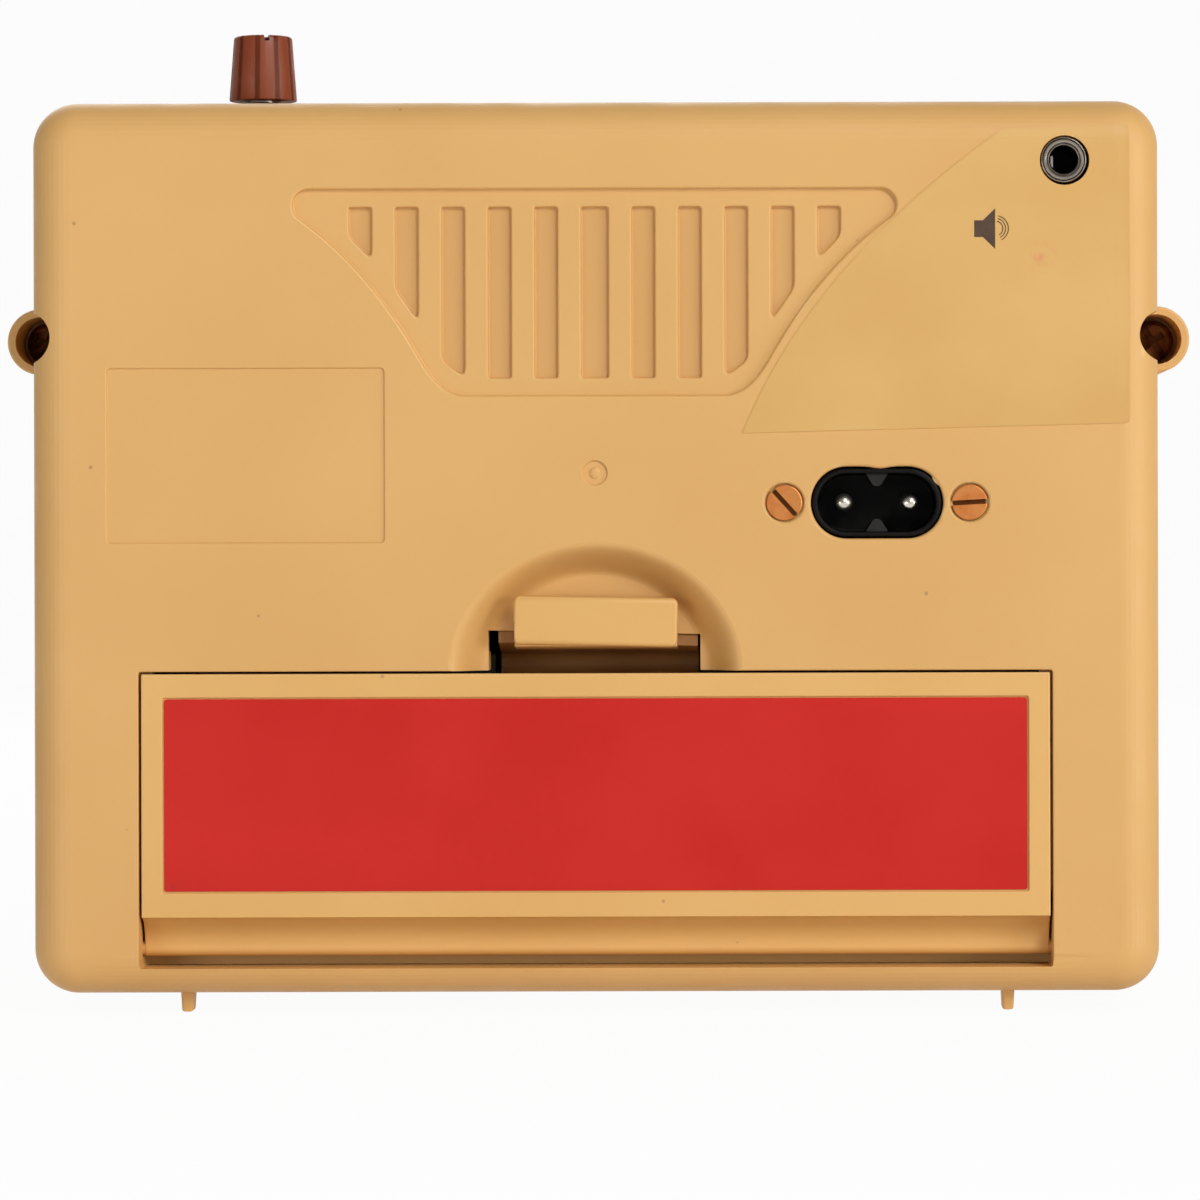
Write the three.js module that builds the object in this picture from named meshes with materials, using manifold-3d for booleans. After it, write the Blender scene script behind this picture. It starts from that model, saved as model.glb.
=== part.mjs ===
// An electronic shruti box: a drone instrument in a two-part moulded case, seen here from its
// connector side. Millimetres, +Z up, the photographed rear face looks towards -Y, the controls
// look towards +Y, and the feet stand on Z = 0.
import * as THREE from 'three';
import { mergeVertices } from 'three/addons/utils/BufferGeometryUtils.js';
import Module from 'manifold-3d';

const wasm = await Module();
wasm.setup();

// Driving dimensions. Depths are measured inwards from the rear face, heights upwards from the
// underside of the case, and sideways places from the middle of the case.

// Fits and mesh making
const restGap = 0.3;
const runningGap = 0.3;
const shaftGap = 0.1;
const screwFit = 0.15;
const overrun = 1;
const weldTolerance = 1e-4;
const roundSides = 20;
const smallRoundSides = 12;

// Case
const caseWidth = 146;
const caseHeight = 115.5;
const caseDepth = 60;
const rearShellDepth = 32;
const wall = 2.4;
const cornerRadius = 5.8;
const edgeRounding = 5.2;
const cornerSteps = 6;
const roundingSteps = 5;
const tongueHeight = 1.4;
const tongueWall = 0.9;

// Feet: small stubs moulded under both shells
const footHeight = 2.6;
const footWidth = 1.7;
const footLength = 4;
const footTaper = 0.15;
const footSpread = 106.8;
const rearFootDepth = 6;
const frontFootInset = 8;

// Side bosses for the two case screws
const bossSpread = 147.4;
const bossHeight = 85;
const bossDiameter = 8.7;
const wellDiameter = 6.6;
const bossRimDepth = 16.5;
const wellFloorDepth = 26.5;
const frontBossInset = 14;
const frontBossEnd = caseDepth - frontBossInset;
const frontBossDome = 2;
const screwShank = 3;
const screwTipCover = 3.5;
const screwLength = frontBossEnd - wellFloorDepth - screwTipCover;
const screwHeadDiameter = 5.6;
const screwHeadHeight = 2.4;
const crossWidth = 0.9;
const crossDepth = 1.2;

// Sound panel on the rear face: a shallow fan-shaped recess with eleven blind slots
const soundTop = 104;
const soundHeight = 26.7;
const soundWidth = 78;
const soundTipRadius = 2.1;
const soundRecess = 0.8;
const soundFootWidth = 33.6;
const flareStartAngle = 234;
const flareTopSlope = -0.72;
const flareFootSlope = -1.8;
const flareFootHalf = 22.6;
const flareFootRise = 4.8;
const slotWidth = 3;
const middleSlotWidth = 3.55;
const slotRib = 3;
const slotMargin = 2.3;
const slotExtraDepth = 0.8;
const slotsEachSide = 5;

// Bare label field and gate mark on the rear face
const fieldLeft = -63;
const fieldWidth = 35.8;
const fieldBottom = 58.4;
const fieldHeight = 22.5;
const fieldRecess = 0.4;
const gateHeight = 67.3;
const gateDiameter = 3.2;
const gateRecess = 0.35;
const gatePipDiameter = 1.5;
const gatePipHeight = 0.3;

// Battery bay opening and the frame of walls behind it
const openingWidth = 118;
const sillHeight = 3.4;
const openingTop = 41.4;
const frameWall = 2.4;
const frameDepth = 11.2;
const ledgeWidth = 1.6;
const ledgeThickness = 2;
const ledgeBottom = 13;

// Battery door
const doorGap = 0.35;
const doorTop = 41.1;
const doorThickness = 2.2;
const coveRadius = 4.26;
const rollRadius = 1.05;
const hingeDepth = coveRadius + rollRadius;
const hingeHeight = 5.8;
const hingePinDiameter = 1.9;
const hingePinReach = 2.2;
const hingePinRoot = 1.5;
const doorLabelWidth = 111.4;
const doorLabelTop = 38;
const doorLabelBottom = 13.4;
const doorLabelMargin = 0.2;
const doorLabelRecess = 0.4;
const labelThickness = 0.2;

// Snap latch of the door: a U-shaped spring leg with a thumb tab and a hook
const latchWidth = 25.9;
const latchOpeningWidth = 27;
const latchOpeningTop = 46.56;
const legThickness = 1.5;
const bendDepth = 12.5;
const bendInnerRadius = 1.4;
const legFrontHeight = 46.2;
const tabWidth = 21.2;
const tabFaceDepth = 0.6;
const tabThickness = 2;
const tabTop = 51.2;
const tabRounding = 0.7;
const hookDepth = 7.6;
const hookLength = 2;
const hookRise = 0.6;
const hookWidth = 10;
const hookFlat = 0.5;
const legFrontDepth = 5.4;
const tabCorner = 0.9;

// Finger scoop above the latch
const scoopWidth = 38.2;
const scoopTop = 58.4;
const scoopDepth = 5;
const scoopFloorWidth = 27.9;
const scoopFloorTop = 54.1;
const scoopFloorThickness = 2;
const scoopArcSteps = 14;
const scoopWallSteps = 5;

// Battery tray for four AA cells, two by two
const cellDiameter = 14.5;
const cellPitch = 16;
const cellDepth = 13;
const cellClearance = 0.4;
const trayFloor = 2;
const trayWall = 1.6;
const trayInnerLength = 108;
const earWidth = 8;
const earHeight = 9;
const earThickness = 2;
const earLevel = 30;
const trayPostSpread = 131.2;
const trayPostDiameter = 6.4;
const contactThickness = 0.4;
const contactHeight = 11;
const contactDepth = 9;
const springWire = 0.7;
const springRadius = 3.6;
const springTipRadius = 2.4;
const springLength = 7.5;
const springTurns = 4;
const springSteps = 8;
const springSides = 5;
const contactBump = 1.4;
const contactBumpDiameter = 5;

// Mains inlet, two-pin
const inletAcross = 36.4;
const inletHeight = 63.4;
const inletOpeningWidth = 17.1;
const inletOpeningHeight = 9.3;
const inletCollarGap = 0.2;
const inletCollarWall = 0.7;
const inletCavityDepth = 9.5;
const inletBodyDepth = 12;
const inletBodyWall = 1.8;
const inletSetBack = 0.25;
const inletCornerRadius = 2;
const inletFlangeWidth = 32;
const inletFlangeHeight = 12.5;
const inletFlangeThickness = 2;
const inletRibWidth = 2.6;
const inletRibTip = 1.3;
const inletRibReach = 1.55;
const pinDiameter = 2.4;
const pinPitch = 8.6;
const pinTipDepth = 2;
const tailDiameter = 1.4;
const inletScrewSpacing = 23.9;
const inletScrewHead = 4.7;
const inletScrewHeadDepth = 1.3;
const inletScrewShank = 2.4;
const inletScrewLength = 9;
const screwSlotWidth = 0.7;
const screwSlotDepth = 0.6;
const slotAngles = [48, -3];
const nutSides = 6;
const nutAcrossFlats = 5;
const nutThickness = 2;

// Connection label: a thin sheet on the rear face round the audio socket
const sheetThickness = 0.15;
const sheetRight = 69;
const sheetTop = 112;
const sheetBottomRight = 73.6;
const sheetBottomLeft = 72.4;
const sheetFootLeft = 18.9;
const sheetTopLeft = 52.6;
const sheetBowAcross = 28;
const sheetBowHeight = 94;

// Audio socket
const jackAcross = 60.7;
const jackHeight = 107.5;
const jackHole = 6.4;
const jackBushDiameter = 5.9;
const jackBore = 3.9;
const jackBodyWidth = 8.6;
const jackBodyHeight = 7.2;
const jackBodyLength = 12;
const jackBoreLength = 9.5;
const jackGrooveWidth = 0.5;
const jackGrooveDepth = 0.4;
const jackRibThickness = 1.5;
const jackContactThickness = 0.3;
const jackContactWidth = 1.6;
const jackSetBack = 0.1;
const jackCorner = 0.8;

// Power board
const powerBoardDepth = 22;
const boardThickness = 1.6;
const powerBoardLeft = 15;
const powerBoardRight = 62;
const powerBoardBottom = 49;
const powerBoardTop = 80;
const postDiameter = 6;
const postHole = 3;
const boardScrewShank = 2.4;
const boardScrewHead = 5;
const boardScrewHeadHeight = 1.8;
const boardScrewLength = 7;
const boardPostInset = 4;
const transformerWidth = 18;
const transformerHeight = 16;
const transformerDepth = 14;
const transformerAcross = 34;
const transformerLevel = 64;
const windingWidth = 15;
const windingHeight = 13;
const coreDepth = 8;
const capacitorDiameter = 10;
const capacitorLength = 16;
const capacitorAcross = 52;
const capacitorCrimp = 0.8;
const capacitorLevel = 58;

// Loudspeaker behind the front face
const speakerLevel = 82;
const speakerDiameter = 57;
const speakerFlange = 1.2;
const speakerLip = 3.5;
const basketDepth = 11;
const basketWall = 0.9;
const basketWindowWidth = 15;
const basketWindowDepth = 6;
const magnetDiameter = 28;
const magnetLength = 8;
const coneMouth = 45;
const coneThroat = 14;
const coneDepth = 8;
const coneThickness = 0.6;
const dustCapHeight = 2.4;
const speakerScrewAngle = 45;
const speakerBossDiameter = 6;
const speakerScrewHead = 8;
const soundHoleDiameter = 50;
const soundStripsEachSide = 4;
const speakerScrewLength = 2.9;
const speakerScrewHeadHeight = 1.2;
const speakerBossFloor = 0.8;

// Front panel with its controls
const panelWidth = 124;
const panelBottom = 8;
const panelTop = 44;
const panelRecess = 0.6;
const mainBoardSetBack = 13.6;
const mainBoardDepth = caseDepth - mainBoardSetBack;
const mainBoardBottom = 6;
const mainBoardTop = 47;
const mainBoardWidth = 120;
const controlLevel = 26;
const pitchKnobAcross = -38;
const fineKnobAcross = 38;
const switchAcross = -6;
const ledAcross = 12;

// Rotary controls
const volumeAcross = -45.1;
const volumeDepth = 26.5;
const knobSkirt = 9.1;
const knobTopDiameter = 7.9;
const knobHeight = 8.7;
const knobBevel = 0.5;
const knobFlutes = 10;
const fluteDepth = 0.35;
const fluteSteps = 4;
const frontKnobSkirt = 15;
const frontKnobTop = 13;
const frontKnobHeight = 11;
const knobBoreDepth = 6;
const shaftDiameter = 4;
const bushDiameter = 6;
const bushHoleGap = 0.3;
const bushProud = 1.7;
const controlNutAcross = 8;
const controlNutThickness = 1.4;
const potDiameter = 15;
const potLength = 8;
const switchDiameter = 20;
const potBevel = 0.5;
const terminalWidth = 9;
const terminalReach = 3;
const terminalThickness = 2;
const shaftFlat = 0.6;

// Power slide switch and lamp
const sliderTravel = 4;
const sliderWidth = 3.6;
const sliderHeight = 3;
const sliderProud = 2;
const sliderFootLength = 6;
const sliderFootThickness = 1.2;
const sliderRidgeShare = 0.6;
const switchBodyLength = 15;
const switchBodyHeight = 7;
const switchBodyDepth = 6;
const lampDiameter = 3;
const lampProud = 1;

// Places worked out from the driving dimensions
const knobStandOff = bushProud + restGap;
const rearFaceY = -(caseDepth + knobStandOff + frontKnobHeight - sheetThickness) / 2;
const sideX = caseWidth / 2;
const quarterTurn = Math.PI / 2;

// Depth behind the rear face and height above the case's underside, as places in the model.
function deep(depth) {
  return rearFaceY + depth;
}

function up(height) {
  return footHeight + height;
}

// Turns a closed three.js geometry into a solid, with its faces pointing out.
function solidOf(geometry) {
  const bare = geometry.clone();
  bare.deleteAttribute('normal');
  bare.deleteAttribute('uv');
  const welded = mergeVertices(bare, weldTolerance);
  const places = welded.attributes.position.array;
  const corners = welded.index.array;
  const faces = [];
  let volume = 0;
  const [a, b, c] = [new THREE.Vector3(), new THREE.Vector3(), new THREE.Vector3()];
  for (let i = 0; i < corners.length; i += 3) {
    const [p, q, r] = [corners[i], corners[i + 1], corners[i + 2]];
    if (p !== q && q !== r && r !== p) {
      faces.push(p, q, r);
      a.fromArray(places, p * 3);
      b.fromArray(places, q * 3);
      c.fromArray(places, r * 3);
      volume += a.dot(b.cross(c));
    }
  }
  if (volume < 0) {
    faces.reverse();
  }
  return new wasm.Manifold(new wasm.Mesh({
    numProp: 3,
    vertProperties: new Float32Array(places),
    triVerts: new Uint32Array(faces),
  }));
}

function geometryOf(solid) {
  const { vertProperties, triVerts } = solid.getMesh();
  const geometry = new THREE.BufferGeometry();
  geometry.setAttribute('position', new THREE.BufferAttribute(vertProperties, 3));
  geometry.setIndex(new THREE.BufferAttribute(triVerts, 1));
  geometry.computeVertexNormals();
  return geometry;
}

function join(...solids) {
  return solids.reduce((whole, solid) => whole.add(solid));
}

function cut(solid, ...tools) {
  return tools.reduce((rest, tool) => rest.subtract(tool), solid);
}

// A block between two places sideways, two depths and two heights.
function block(left, right, from, to, bottom, top) {
  const geometry = new THREE.BoxGeometry(right - left, to - from, top - bottom);
  geometry.translate((left + right) / 2, deep((from + to) / 2), up((bottom + top) / 2));
  return solidOf(geometry);
}

// A shape drawn sideways and upwards, extruded from one depth to another.
function slab(shape, from, to) {
  const geometry = new THREE.ExtrudeGeometry(shape, {
    depth: to - from,
    bevelEnabled: false,
    curveSegments: cornerSteps,
  });
  geometry.rotateX(quarterTurn);
  geometry.translate(0, deep(to), footHeight);
  return solidOf(geometry);
}

// A profile drawn in depth and height, extruded from one place sideways to another.
function bar(profile, left, right) {
  const geometry = new THREE.ExtrudeGeometry(profile, {
    depth: right - left,
    bevelEnabled: false,
    curveSegments: cornerSteps,
  });
  const alongX = new THREE.Matrix4().makeBasis(
    new THREE.Vector3(0, 1, 0),
    new THREE.Vector3(0, 0, 1),
    new THREE.Vector3(1, 0, 0),
  );
  geometry.applyMatrix4(alongX);
  geometry.translate(left, rearFaceY, footHeight);
  return solidOf(geometry);
}

// A round bar that runs from one depth to another.
function rod(across, height, diameter, from, to, sides = roundSides) {
  const geometry = new THREE.CylinderGeometry(diameter / 2, diameter / 2, to - from, sides);
  geometry.translate(across, deep((from + to) / 2), up(height));
  return solidOf(geometry);
}

// A turned piece: radius and depth pairs from the axis back to the axis, turned round a line that
// runs through the case from back to front.
function turned(profile, across, height, sides = roundSides) {
  const points = profile.map(([radius, depth]) => new THREE.Vector2(radius, depth));
  const geometry = new THREE.LatheGeometry(points, sides);
  geometry.translate(across, rearFaceY, up(height));
  return solidOf(geometry);
}

// The same, turned round its own Z axis at the origin.
function turnedUpright(profile, sides = roundSides) {
  const points = profile.map(([radius, level]) => new THREE.Vector2(radius, level));
  const geometry = new THREE.LatheGeometry(points, sides);
  geometry.rotateX(quarterTurn);
  return solidOf(geometry);
}

function roundedRectangle(left, right, bottom, top, radius) {
  const shape = new THREE.Shape();
  shape.moveTo(left + radius, bottom);
  shape.lineTo(right - radius, bottom);
  shape.absarc(right - radius, bottom + radius, radius, -quarterTurn, 0);
  shape.lineTo(right, top - radius);
  shape.absarc(right - radius, top - radius, radius, 0, quarterTurn);
  shape.lineTo(left + radius, top);
  shape.absarc(left + radius, top - radius, radius, quarterTurn, 2 * quarterTurn);
  shape.lineTo(left, bottom + radius);
  shape.absarc(left + radius, bottom + radius, radius, 2 * quarterTurn, 3 * quarterTurn);
  return shape;
}

// Skins a stack of rings of equal count and closes both ends.
function loft(rings) {
  const count = rings[0].length;
  const faces = [];
  for (let ring = 0; ring + 1 < rings.length; ring += 1) {
    for (let i = 0; i < count; i += 1) {
      const near = ring * count + i;
      const beside = ring * count + (i + 1) % count;
      faces.push(near, beside, near + count);
      faces.push(beside, beside + count, near + count);
    }
  }
  const last = (rings.length - 1) * count;
  for (let i = 1; i + 1 < count; i += 1) {
    faces.push(0, i + 1, i);
    faces.push(last, last + i, last + i + 1);
  }
  const places = rings.flat().flatMap((point) => [point.x, point.y, point.z]);
  const geometry = new THREE.BufferGeometry();
  geometry.setAttribute('position', new THREE.Float32BufferAttribute(places, 3));
  geometry.setIndex(faces);
  return solidOf(geometry);
}

// A rounded rectangle of the case's section, set in from the outline, at one depth.
function caseRing(inset, depth) {
  const radius = cornerRadius - inset;
  const centreX = sideX - cornerRadius;
  const centres = [
    [centreX, caseHeight - cornerRadius, 0],
    [-centreX, caseHeight - cornerRadius, 1],
    [-centreX, cornerRadius, 2],
    [centreX, cornerRadius, 3],
  ];
  return centres.flatMap(([x, height, corner]) => {
    const points = [];
    for (let step = 0; step <= cornerSteps; step += 1) {
      const angle = (corner + step / cornerSteps) * quarterTurn;
      const across = x + radius * Math.cos(angle);
      const level = height + radius * Math.sin(angle);
      points.push(new THREE.Vector3(across, deep(depth), up(level)));
    }
    return points;
  });
}

// The case's body from a face with rounded edges to a plane: inset tells how far inside the
// outside skin it lies, and inwards is +1 from the rear face and -1 from the front face.
function caseBody(faceDepth, farDepth, inset) {
  const inwards = Math.sign(farDepth - faceDepth);
  const rounding = edgeRounding - inset;
  const rings = [];
  for (let step = 0; step <= roundingSteps; step += 1) {
    const angle = (step / roundingSteps) * quarterTurn;
    const sink = inset + rounding * (1 - Math.cos(angle));
    const edge = inset + rounding * (1 - Math.sin(angle));
    rings.push(caseRing(edge, faceDepth + inwards * sink));
  }
  rings.push(caseRing(inset, farDepth));
  return loft(rings);
}

// A ring of wall that follows the case's section between two insets and two depths.
function caseBand(outerInset, innerInset, from, to) {
  const outer = loft([caseRing(outerInset, from), caseRing(outerInset, to)]);
  const innerRings = [caseRing(innerInset, from - overrun), caseRing(innerInset, to + overrun)];
  return cut(outer, loft(innerRings));
}

// Keeps the alignment tongue away from the side bosses.
function bossKeepOut() {
  const reach = bossDiameter / 2 + restGap;
  const from = rearShellDepth - tongueHeight - overrun;
  const to = rearShellDepth + overrun;
  const outside = bossSpread / 2 + bossDiameter;
  return block(-outside, outside, from, to, bossHeight - reach, bossHeight + reach);
}

// A stub foot: a tapered peg under the case.
function foot(across, depth) {
  const level = (half, length, height) => [
    new THREE.Vector3(across - half, deep(depth - length), up(height)),
    new THREE.Vector3(across + half, deep(depth - length), up(height)),
    new THREE.Vector3(across + half, deep(depth + length), up(height)),
    new THREE.Vector3(across - half, deep(depth + length), up(height)),
  ];
  const tip = level(footWidth / 2 - footTaper, footLength / 2 - footTaper, -footHeight);
  const root = level(footWidth / 2, footLength / 2, wall / 2);
  return loft([tip, root]);
}

const sides = [-1, 1];
const footPlaces = sides.map((side) => side * footSpread / 2);
const bossPlaces = sides.map((side) => side * bossSpread / 2);

// Where two sloping lines meet, each given by a point and its slope.
function meet([ax, ay], slopeA, [bx, by], slopeB) {
  const x = (by - ay + slopeA * ax - slopeB * bx) / (slopeA - slopeB);
  return [x, ay + slopeA * (x - ax)];
}

// Moves a point of the sound panel's left edge into the panel, square to the edge's slope.
function setIn([x, y], slope, inset) {
  const run = Math.hypot(1, slope);
  return [x - (inset * slope) / run, y + inset / run];
}

// The fan shape of the sound panel: rounded tips, flaring sides and a rounded foot.
function soundOutline(inset) {
  const tipX = soundTipRadius - soundWidth / 2;
  const tipY = soundTop - soundTipRadius;
  const startAngle = THREE.MathUtils.degToRad(flareStartAngle);
  const foot = soundTop - soundHeight + inset;
  const tipEdge = [
    tipX + soundTipRadius * Math.cos(startAngle),
    tipY + soundTipRadius * Math.sin(startAngle),
  ];
  const flareFoot = [-flareFootHalf, soundTop - soundHeight + flareFootRise];
  const start = setIn(tipEdge, flareTopSlope, inset);
  const end = setIn(flareFoot, flareFootSlope, inset);
  const half = new THREE.Path();
  if (inset < soundTipRadius) {
    half.absarc(tipX, tipY, soundTipRadius - inset, quarterTurn, startAngle);
  } else {
    half.moveTo(...meet(start, flareTopSlope, [0, soundTop - inset], 0));
    half.lineTo(...start);
  }
  half.quadraticCurveTo(...meet(start, flareTopSlope, end, flareFootSlope), ...end);
  half.quadraticCurveTo(...meet(end, flareFootSlope, [0, foot], 0), -soundFootWidth / 2, foot);
  const left = half.getPoints(cornerSteps);
  const right = left.map((point) => new THREE.Vector2(-point.x, point.y)).reverse();
  return new THREE.Shape([...left, ...right]);
}

// Eleven upright slots: the middle one is wider, and the fan's edge trims the outer ones.
function soundSlots() {
  const floor = soundRecess + slotExtraDepth;
  const strips = [];
  for (let i = -slotsEachSide; i <= slotsEachSide; i += 1) {
    const pitch = slotWidth + slotRib;
    const first = middleSlotWidth / 2 + slotRib + slotWidth / 2;
    const across = i === 0 ? 0 : Math.sign(i) * (first + (Math.abs(i) - 1) * pitch);
    const half = (i === 0 ? middleSlotWidth : slotWidth) / 2;
    const bottom = soundTop - soundHeight;
    strips.push(block(across - half, across + half, -overrun, floor, bottom, soundTop));
  }
  return join(...strips).intersect(slab(soundOutline(slotMargin), -overrun, floor));
}

// The stack of half-ellipse sections of the finger scoop. Grow widens it and shift sinks it, which
// gives the body of material behind the scoop.
function scoopBody(grow, shift, mouthDepth, skirt) {
  const rings = [];
  for (let step = -1; step <= scoopWallSteps; step += 1) {
    const share = Math.max(step, 0) / scoopWallSteps;
    const eased = share * share * (3 - 2 * share);
    const depth = step < 0 ? mouthDepth : shift + scoopDepth * eased;
    const half = THREE.MathUtils.lerp(scoopWidth, scoopFloorWidth, share) / 2 + grow;
    const rise = THREE.MathUtils.lerp(scoopTop, scoopFloorTop, share) - openingTop + grow;
    const ring = [new THREE.Vector3(half, deep(depth), up(skirt))];
    for (let i = 0; i <= scoopArcSteps; i += 1) {
      const angle = (i / scoopArcSteps) * 2 * quarterTurn;
      const level = openingTop + rise * Math.sin(angle);
      ring.push(new THREE.Vector3(half * Math.cos(angle), deep(depth), up(level)));
    }
    ring.push(new THREE.Vector3(-half, deep(depth), up(skirt)));
    rings.push(ring);
  }
  return loft(rings);
}

// Posts with screw holes that stand on the inside of the rear face
const powerPosts = [
  [powerBoardLeft + boardPostInset, powerBoardTop - boardPostInset],
  [powerBoardRight - boardPostInset, powerBoardBottom + boardPostInset],
];
const trayPosts = sides.map((side) => [side * trayPostSpread / 2, earLevel]);
const inletScrewPlaces = sides.map((side) => inletAcross + side * inletScrewSpacing / 2);

function inletStadium(width, height) {
  const left = inletAcross - width / 2;
  const bottom = inletHeight - height / 2;
  return roundedRectangle(left, left + width, bottom, bottom + height, height / 2);
}

// The hole for a countersunk screw through the rear wall.
function countersink(across) {
  const headRadius = inletScrewHead / 2 + screwFit;
  const shankRadius = inletScrewShank / 2 + screwFit;
  return turned([
    [0, -overrun],
    [headRadius, -overrun],
    [headRadius, 0],
    [shankRadius, inletScrewHeadDepth],
    [shankRadius, wall + overrun],
    [0, wall + overrun],
  ], across, inletHeight);
}

// A circle round the door's hinge line, seen from the side.
function hingeCircle(radius) {
  const circle = new THREE.Shape();
  circle.absarc(hingeDepth, hingeHeight, radius, 0, 4 * quarterTurn);
  return circle;
}

function rearShell() {
  const outer = caseBody(0, rearShellDepth, 0);
  const cavity = caseBody(0, rearShellDepth + overrun, wall);
  const frameX = openingWidth / 2;
  const outsideX = frameX + frameWall;
  const bosses = bossPlaces.map((across) => join(
    rod(across, bossHeight, bossDiameter, 0, rearShellDepth).intersect(outer),
    rod(across, bossHeight, bossDiameter, bossRimDepth, rearShellDepth),
  ));
  const frame = block(-outsideX, outsideX, wall / 2, frameDepth, wall / 2, openingTop + frameWall);
  const opening = block(-frameX, frameX, -overrun, frameDepth + overrun, sillHeight, openingTop);
  const ledgeFrom = doorThickness + restGap;
  const ledges = sides.map((side) => {
    const ends = [side * (frameX - ledgeWidth), side * (frameX + frameWall / 2)];
    const ledgeTo = ledgeFrom + ledgeThickness;
    return block(Math.min(...ends), Math.max(...ends), ledgeFrom, ledgeTo, ledgeBottom, openingTop);
  });
  const post = ([across, height], diameter, end) => rod(across, height, diameter, wall / 2, end);
  const posts = [
    ...powerPosts.map((place) => post(place, postDiameter, powerBoardDepth - restGap)),
    ...trayPosts.map((place) => post(place, trayPostDiameter, frameDepth)),
  ];
  const jackRibs = sides.map((side) => {
    const near = side * (jackBodyWidth / 2 + restGap);
    const far = near + side * jackRibThickness;
    const ends = [jackAcross + near, jackAcross + far];
    const half = jackBodyHeight / 2;
    const ribEnd = wall + jackBodyLength;
    const [left, right] = [Math.min(...ends), Math.max(...ends)];
    return block(left, right, wall / 2, ribEnd, jackHeight - half, caseHeight).intersect(outer);
  });
  const feet = footPlaces.map((across) => foot(across, rearFootDepth + footLength / 2));
  const scoopBack = scoopBody(
    scoopFloorThickness, scoopFloorThickness, wall / 2, openingTop,
  );
  const framed = join(cut(outer, cavity), frame.intersect(outer), scoopBack, ...bosses);
  const opened = join(cut(framed, opening), ...ledges, ...posts, ...jackRibs, ...feet);

  const latchHalf = latchOpeningWidth / 2;
  const latchFrom = openingTop - overrun;
  const socketEnd = openingWidth / 2 + frameWall + overrun;
  const socketShape = hingeCircle(hingePinDiameter / 2 + runningGap);
  const gatePip = turned([
    [0, gateRecess + wall / 4],
    [gatePipDiameter / 2, gateRecess + wall / 4],
    [gatePipDiameter / 2, gateRecess],
    [gatePipDiameter / 4, gateRecess - gatePipHeight],
    [0, gateRecess - gatePipHeight],
  ], 0, gateHeight, smallRoundSides);
  const fieldShape = roundedRectangle(
    fieldLeft, fieldLeft + fieldWidth, fieldBottom, fieldBottom + fieldHeight, fieldRecess,
  );
  const tongueRoom = cut(
    caseBand(
      wall - tongueWall - restGap, wall + overrun,
      rearShellDepth - tongueHeight - restGap, rearShellDepth + overrun,
    ),
    bossKeepOut(),
  );
  const bushHole = new THREE.CylinderGeometry(
    bushDiameter / 2 + bushHoleGap, bushDiameter / 2 + bushHoleGap, 4 * wall, roundSides,
  );
  bushHole.rotateX(quarterTurn);
  bushHole.translate(volumeAcross, deep(volumeDepth), up(caseHeight));
  const cutters = [
    block(-latchHalf, latchHalf, -overrun, frameDepth + overrun, latchFrom, latchOpeningTop),
    scoopBody(0, 0, -overrun, latchFrom),
    bar(socketShape, -socketEnd, socketEnd),
    slab(soundOutline(0), -overrun, soundRecess),
    soundSlots(),
    slab(fieldShape, -overrun, fieldRecess),
    rod(0, gateHeight, gateDiameter, -overrun, gateRecess, smallRoundSides),
    slab(inletStadium(inletOpeningWidth, inletOpeningHeight), -overrun, wall + overrun),
    ...inletScrewPlaces.map(countersink),
    rod(jackAcross, jackHeight, jackHole, -overrun, wall + overrun),
    solidOf(bushHole),
    ...bossPlaces.map((x) => rod(x, bossHeight, wellDiameter, -overrun, wellFloorDepth)),
    ...bossPlaces.map((x) => rod(
      x, bossHeight, screwShank + restGap * 2, wellFloorDepth - overrun, rearShellDepth + overrun,
      smallRoundSides,
    )),
    ...powerPosts.map(([x, height]) => rod(
      x, height, postHole, powerBoardDepth - boardScrewLength, powerBoardDepth, smallRoundSides,
    )),
    ...trayPosts.map(([x, height]) => rod(
      x, height, postHole, frameDepth - boardScrewLength, frameDepth + overrun, smallRoundSides,
    )),
    tongueRoom,
  ];
  return join(cut(opened, ...cutters), gatePip);
}

// The hole pattern of the loudspeaker: upright strips trimmed by a circle.
function speakerSlots() {
  const from = caseDepth - wall - overrun;
  const radius = soundHoleDiameter / 2;
  const strips = [];
  for (let i = -soundStripsEachSide; i <= soundStripsEachSide; i += 1) {
    const across = i * (slotWidth + slotRib);
    const [left, right] = [across - slotWidth / 2, across + slotWidth / 2];
    const [bottom, top] = [speakerLevel - radius, speakerLevel + radius];
    strips.push(block(left, right, from, caseDepth + overrun, bottom, top));
  }
  const round = rod(0, speakerLevel, soundHoleDiameter, from, caseDepth + overrun);
  return join(...strips).intersect(round);
}

const speakerBackDepth = caseDepth - wall - restGap - speakerFlange;
const speakerScrewPlaces = [1, 3, 5, 7].map((quarter) => {
  const angle = THREE.MathUtils.degToRad(speakerScrewAngle * quarter);
  const reach = speakerDiameter / 2 + restGap + speakerBossDiameter / 2;
  return [reach * Math.cos(angle), speakerLevel + reach * Math.sin(angle)];
});
const boardFrontDepth = mainBoardDepth + boardThickness + restGap;
const mainPosts = sides.flatMap((side) => {
  const across = side * (mainBoardWidth / 2 - boardPostInset);
  return [[across, mainBoardBottom + boardPostInset], [across, mainBoardTop - boardPostInset]];
});
const controlSeatDepth = caseDepth - wall - restGap;
const bushHoleDiameter = bushDiameter + 2 * bushHoleGap;

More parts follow.
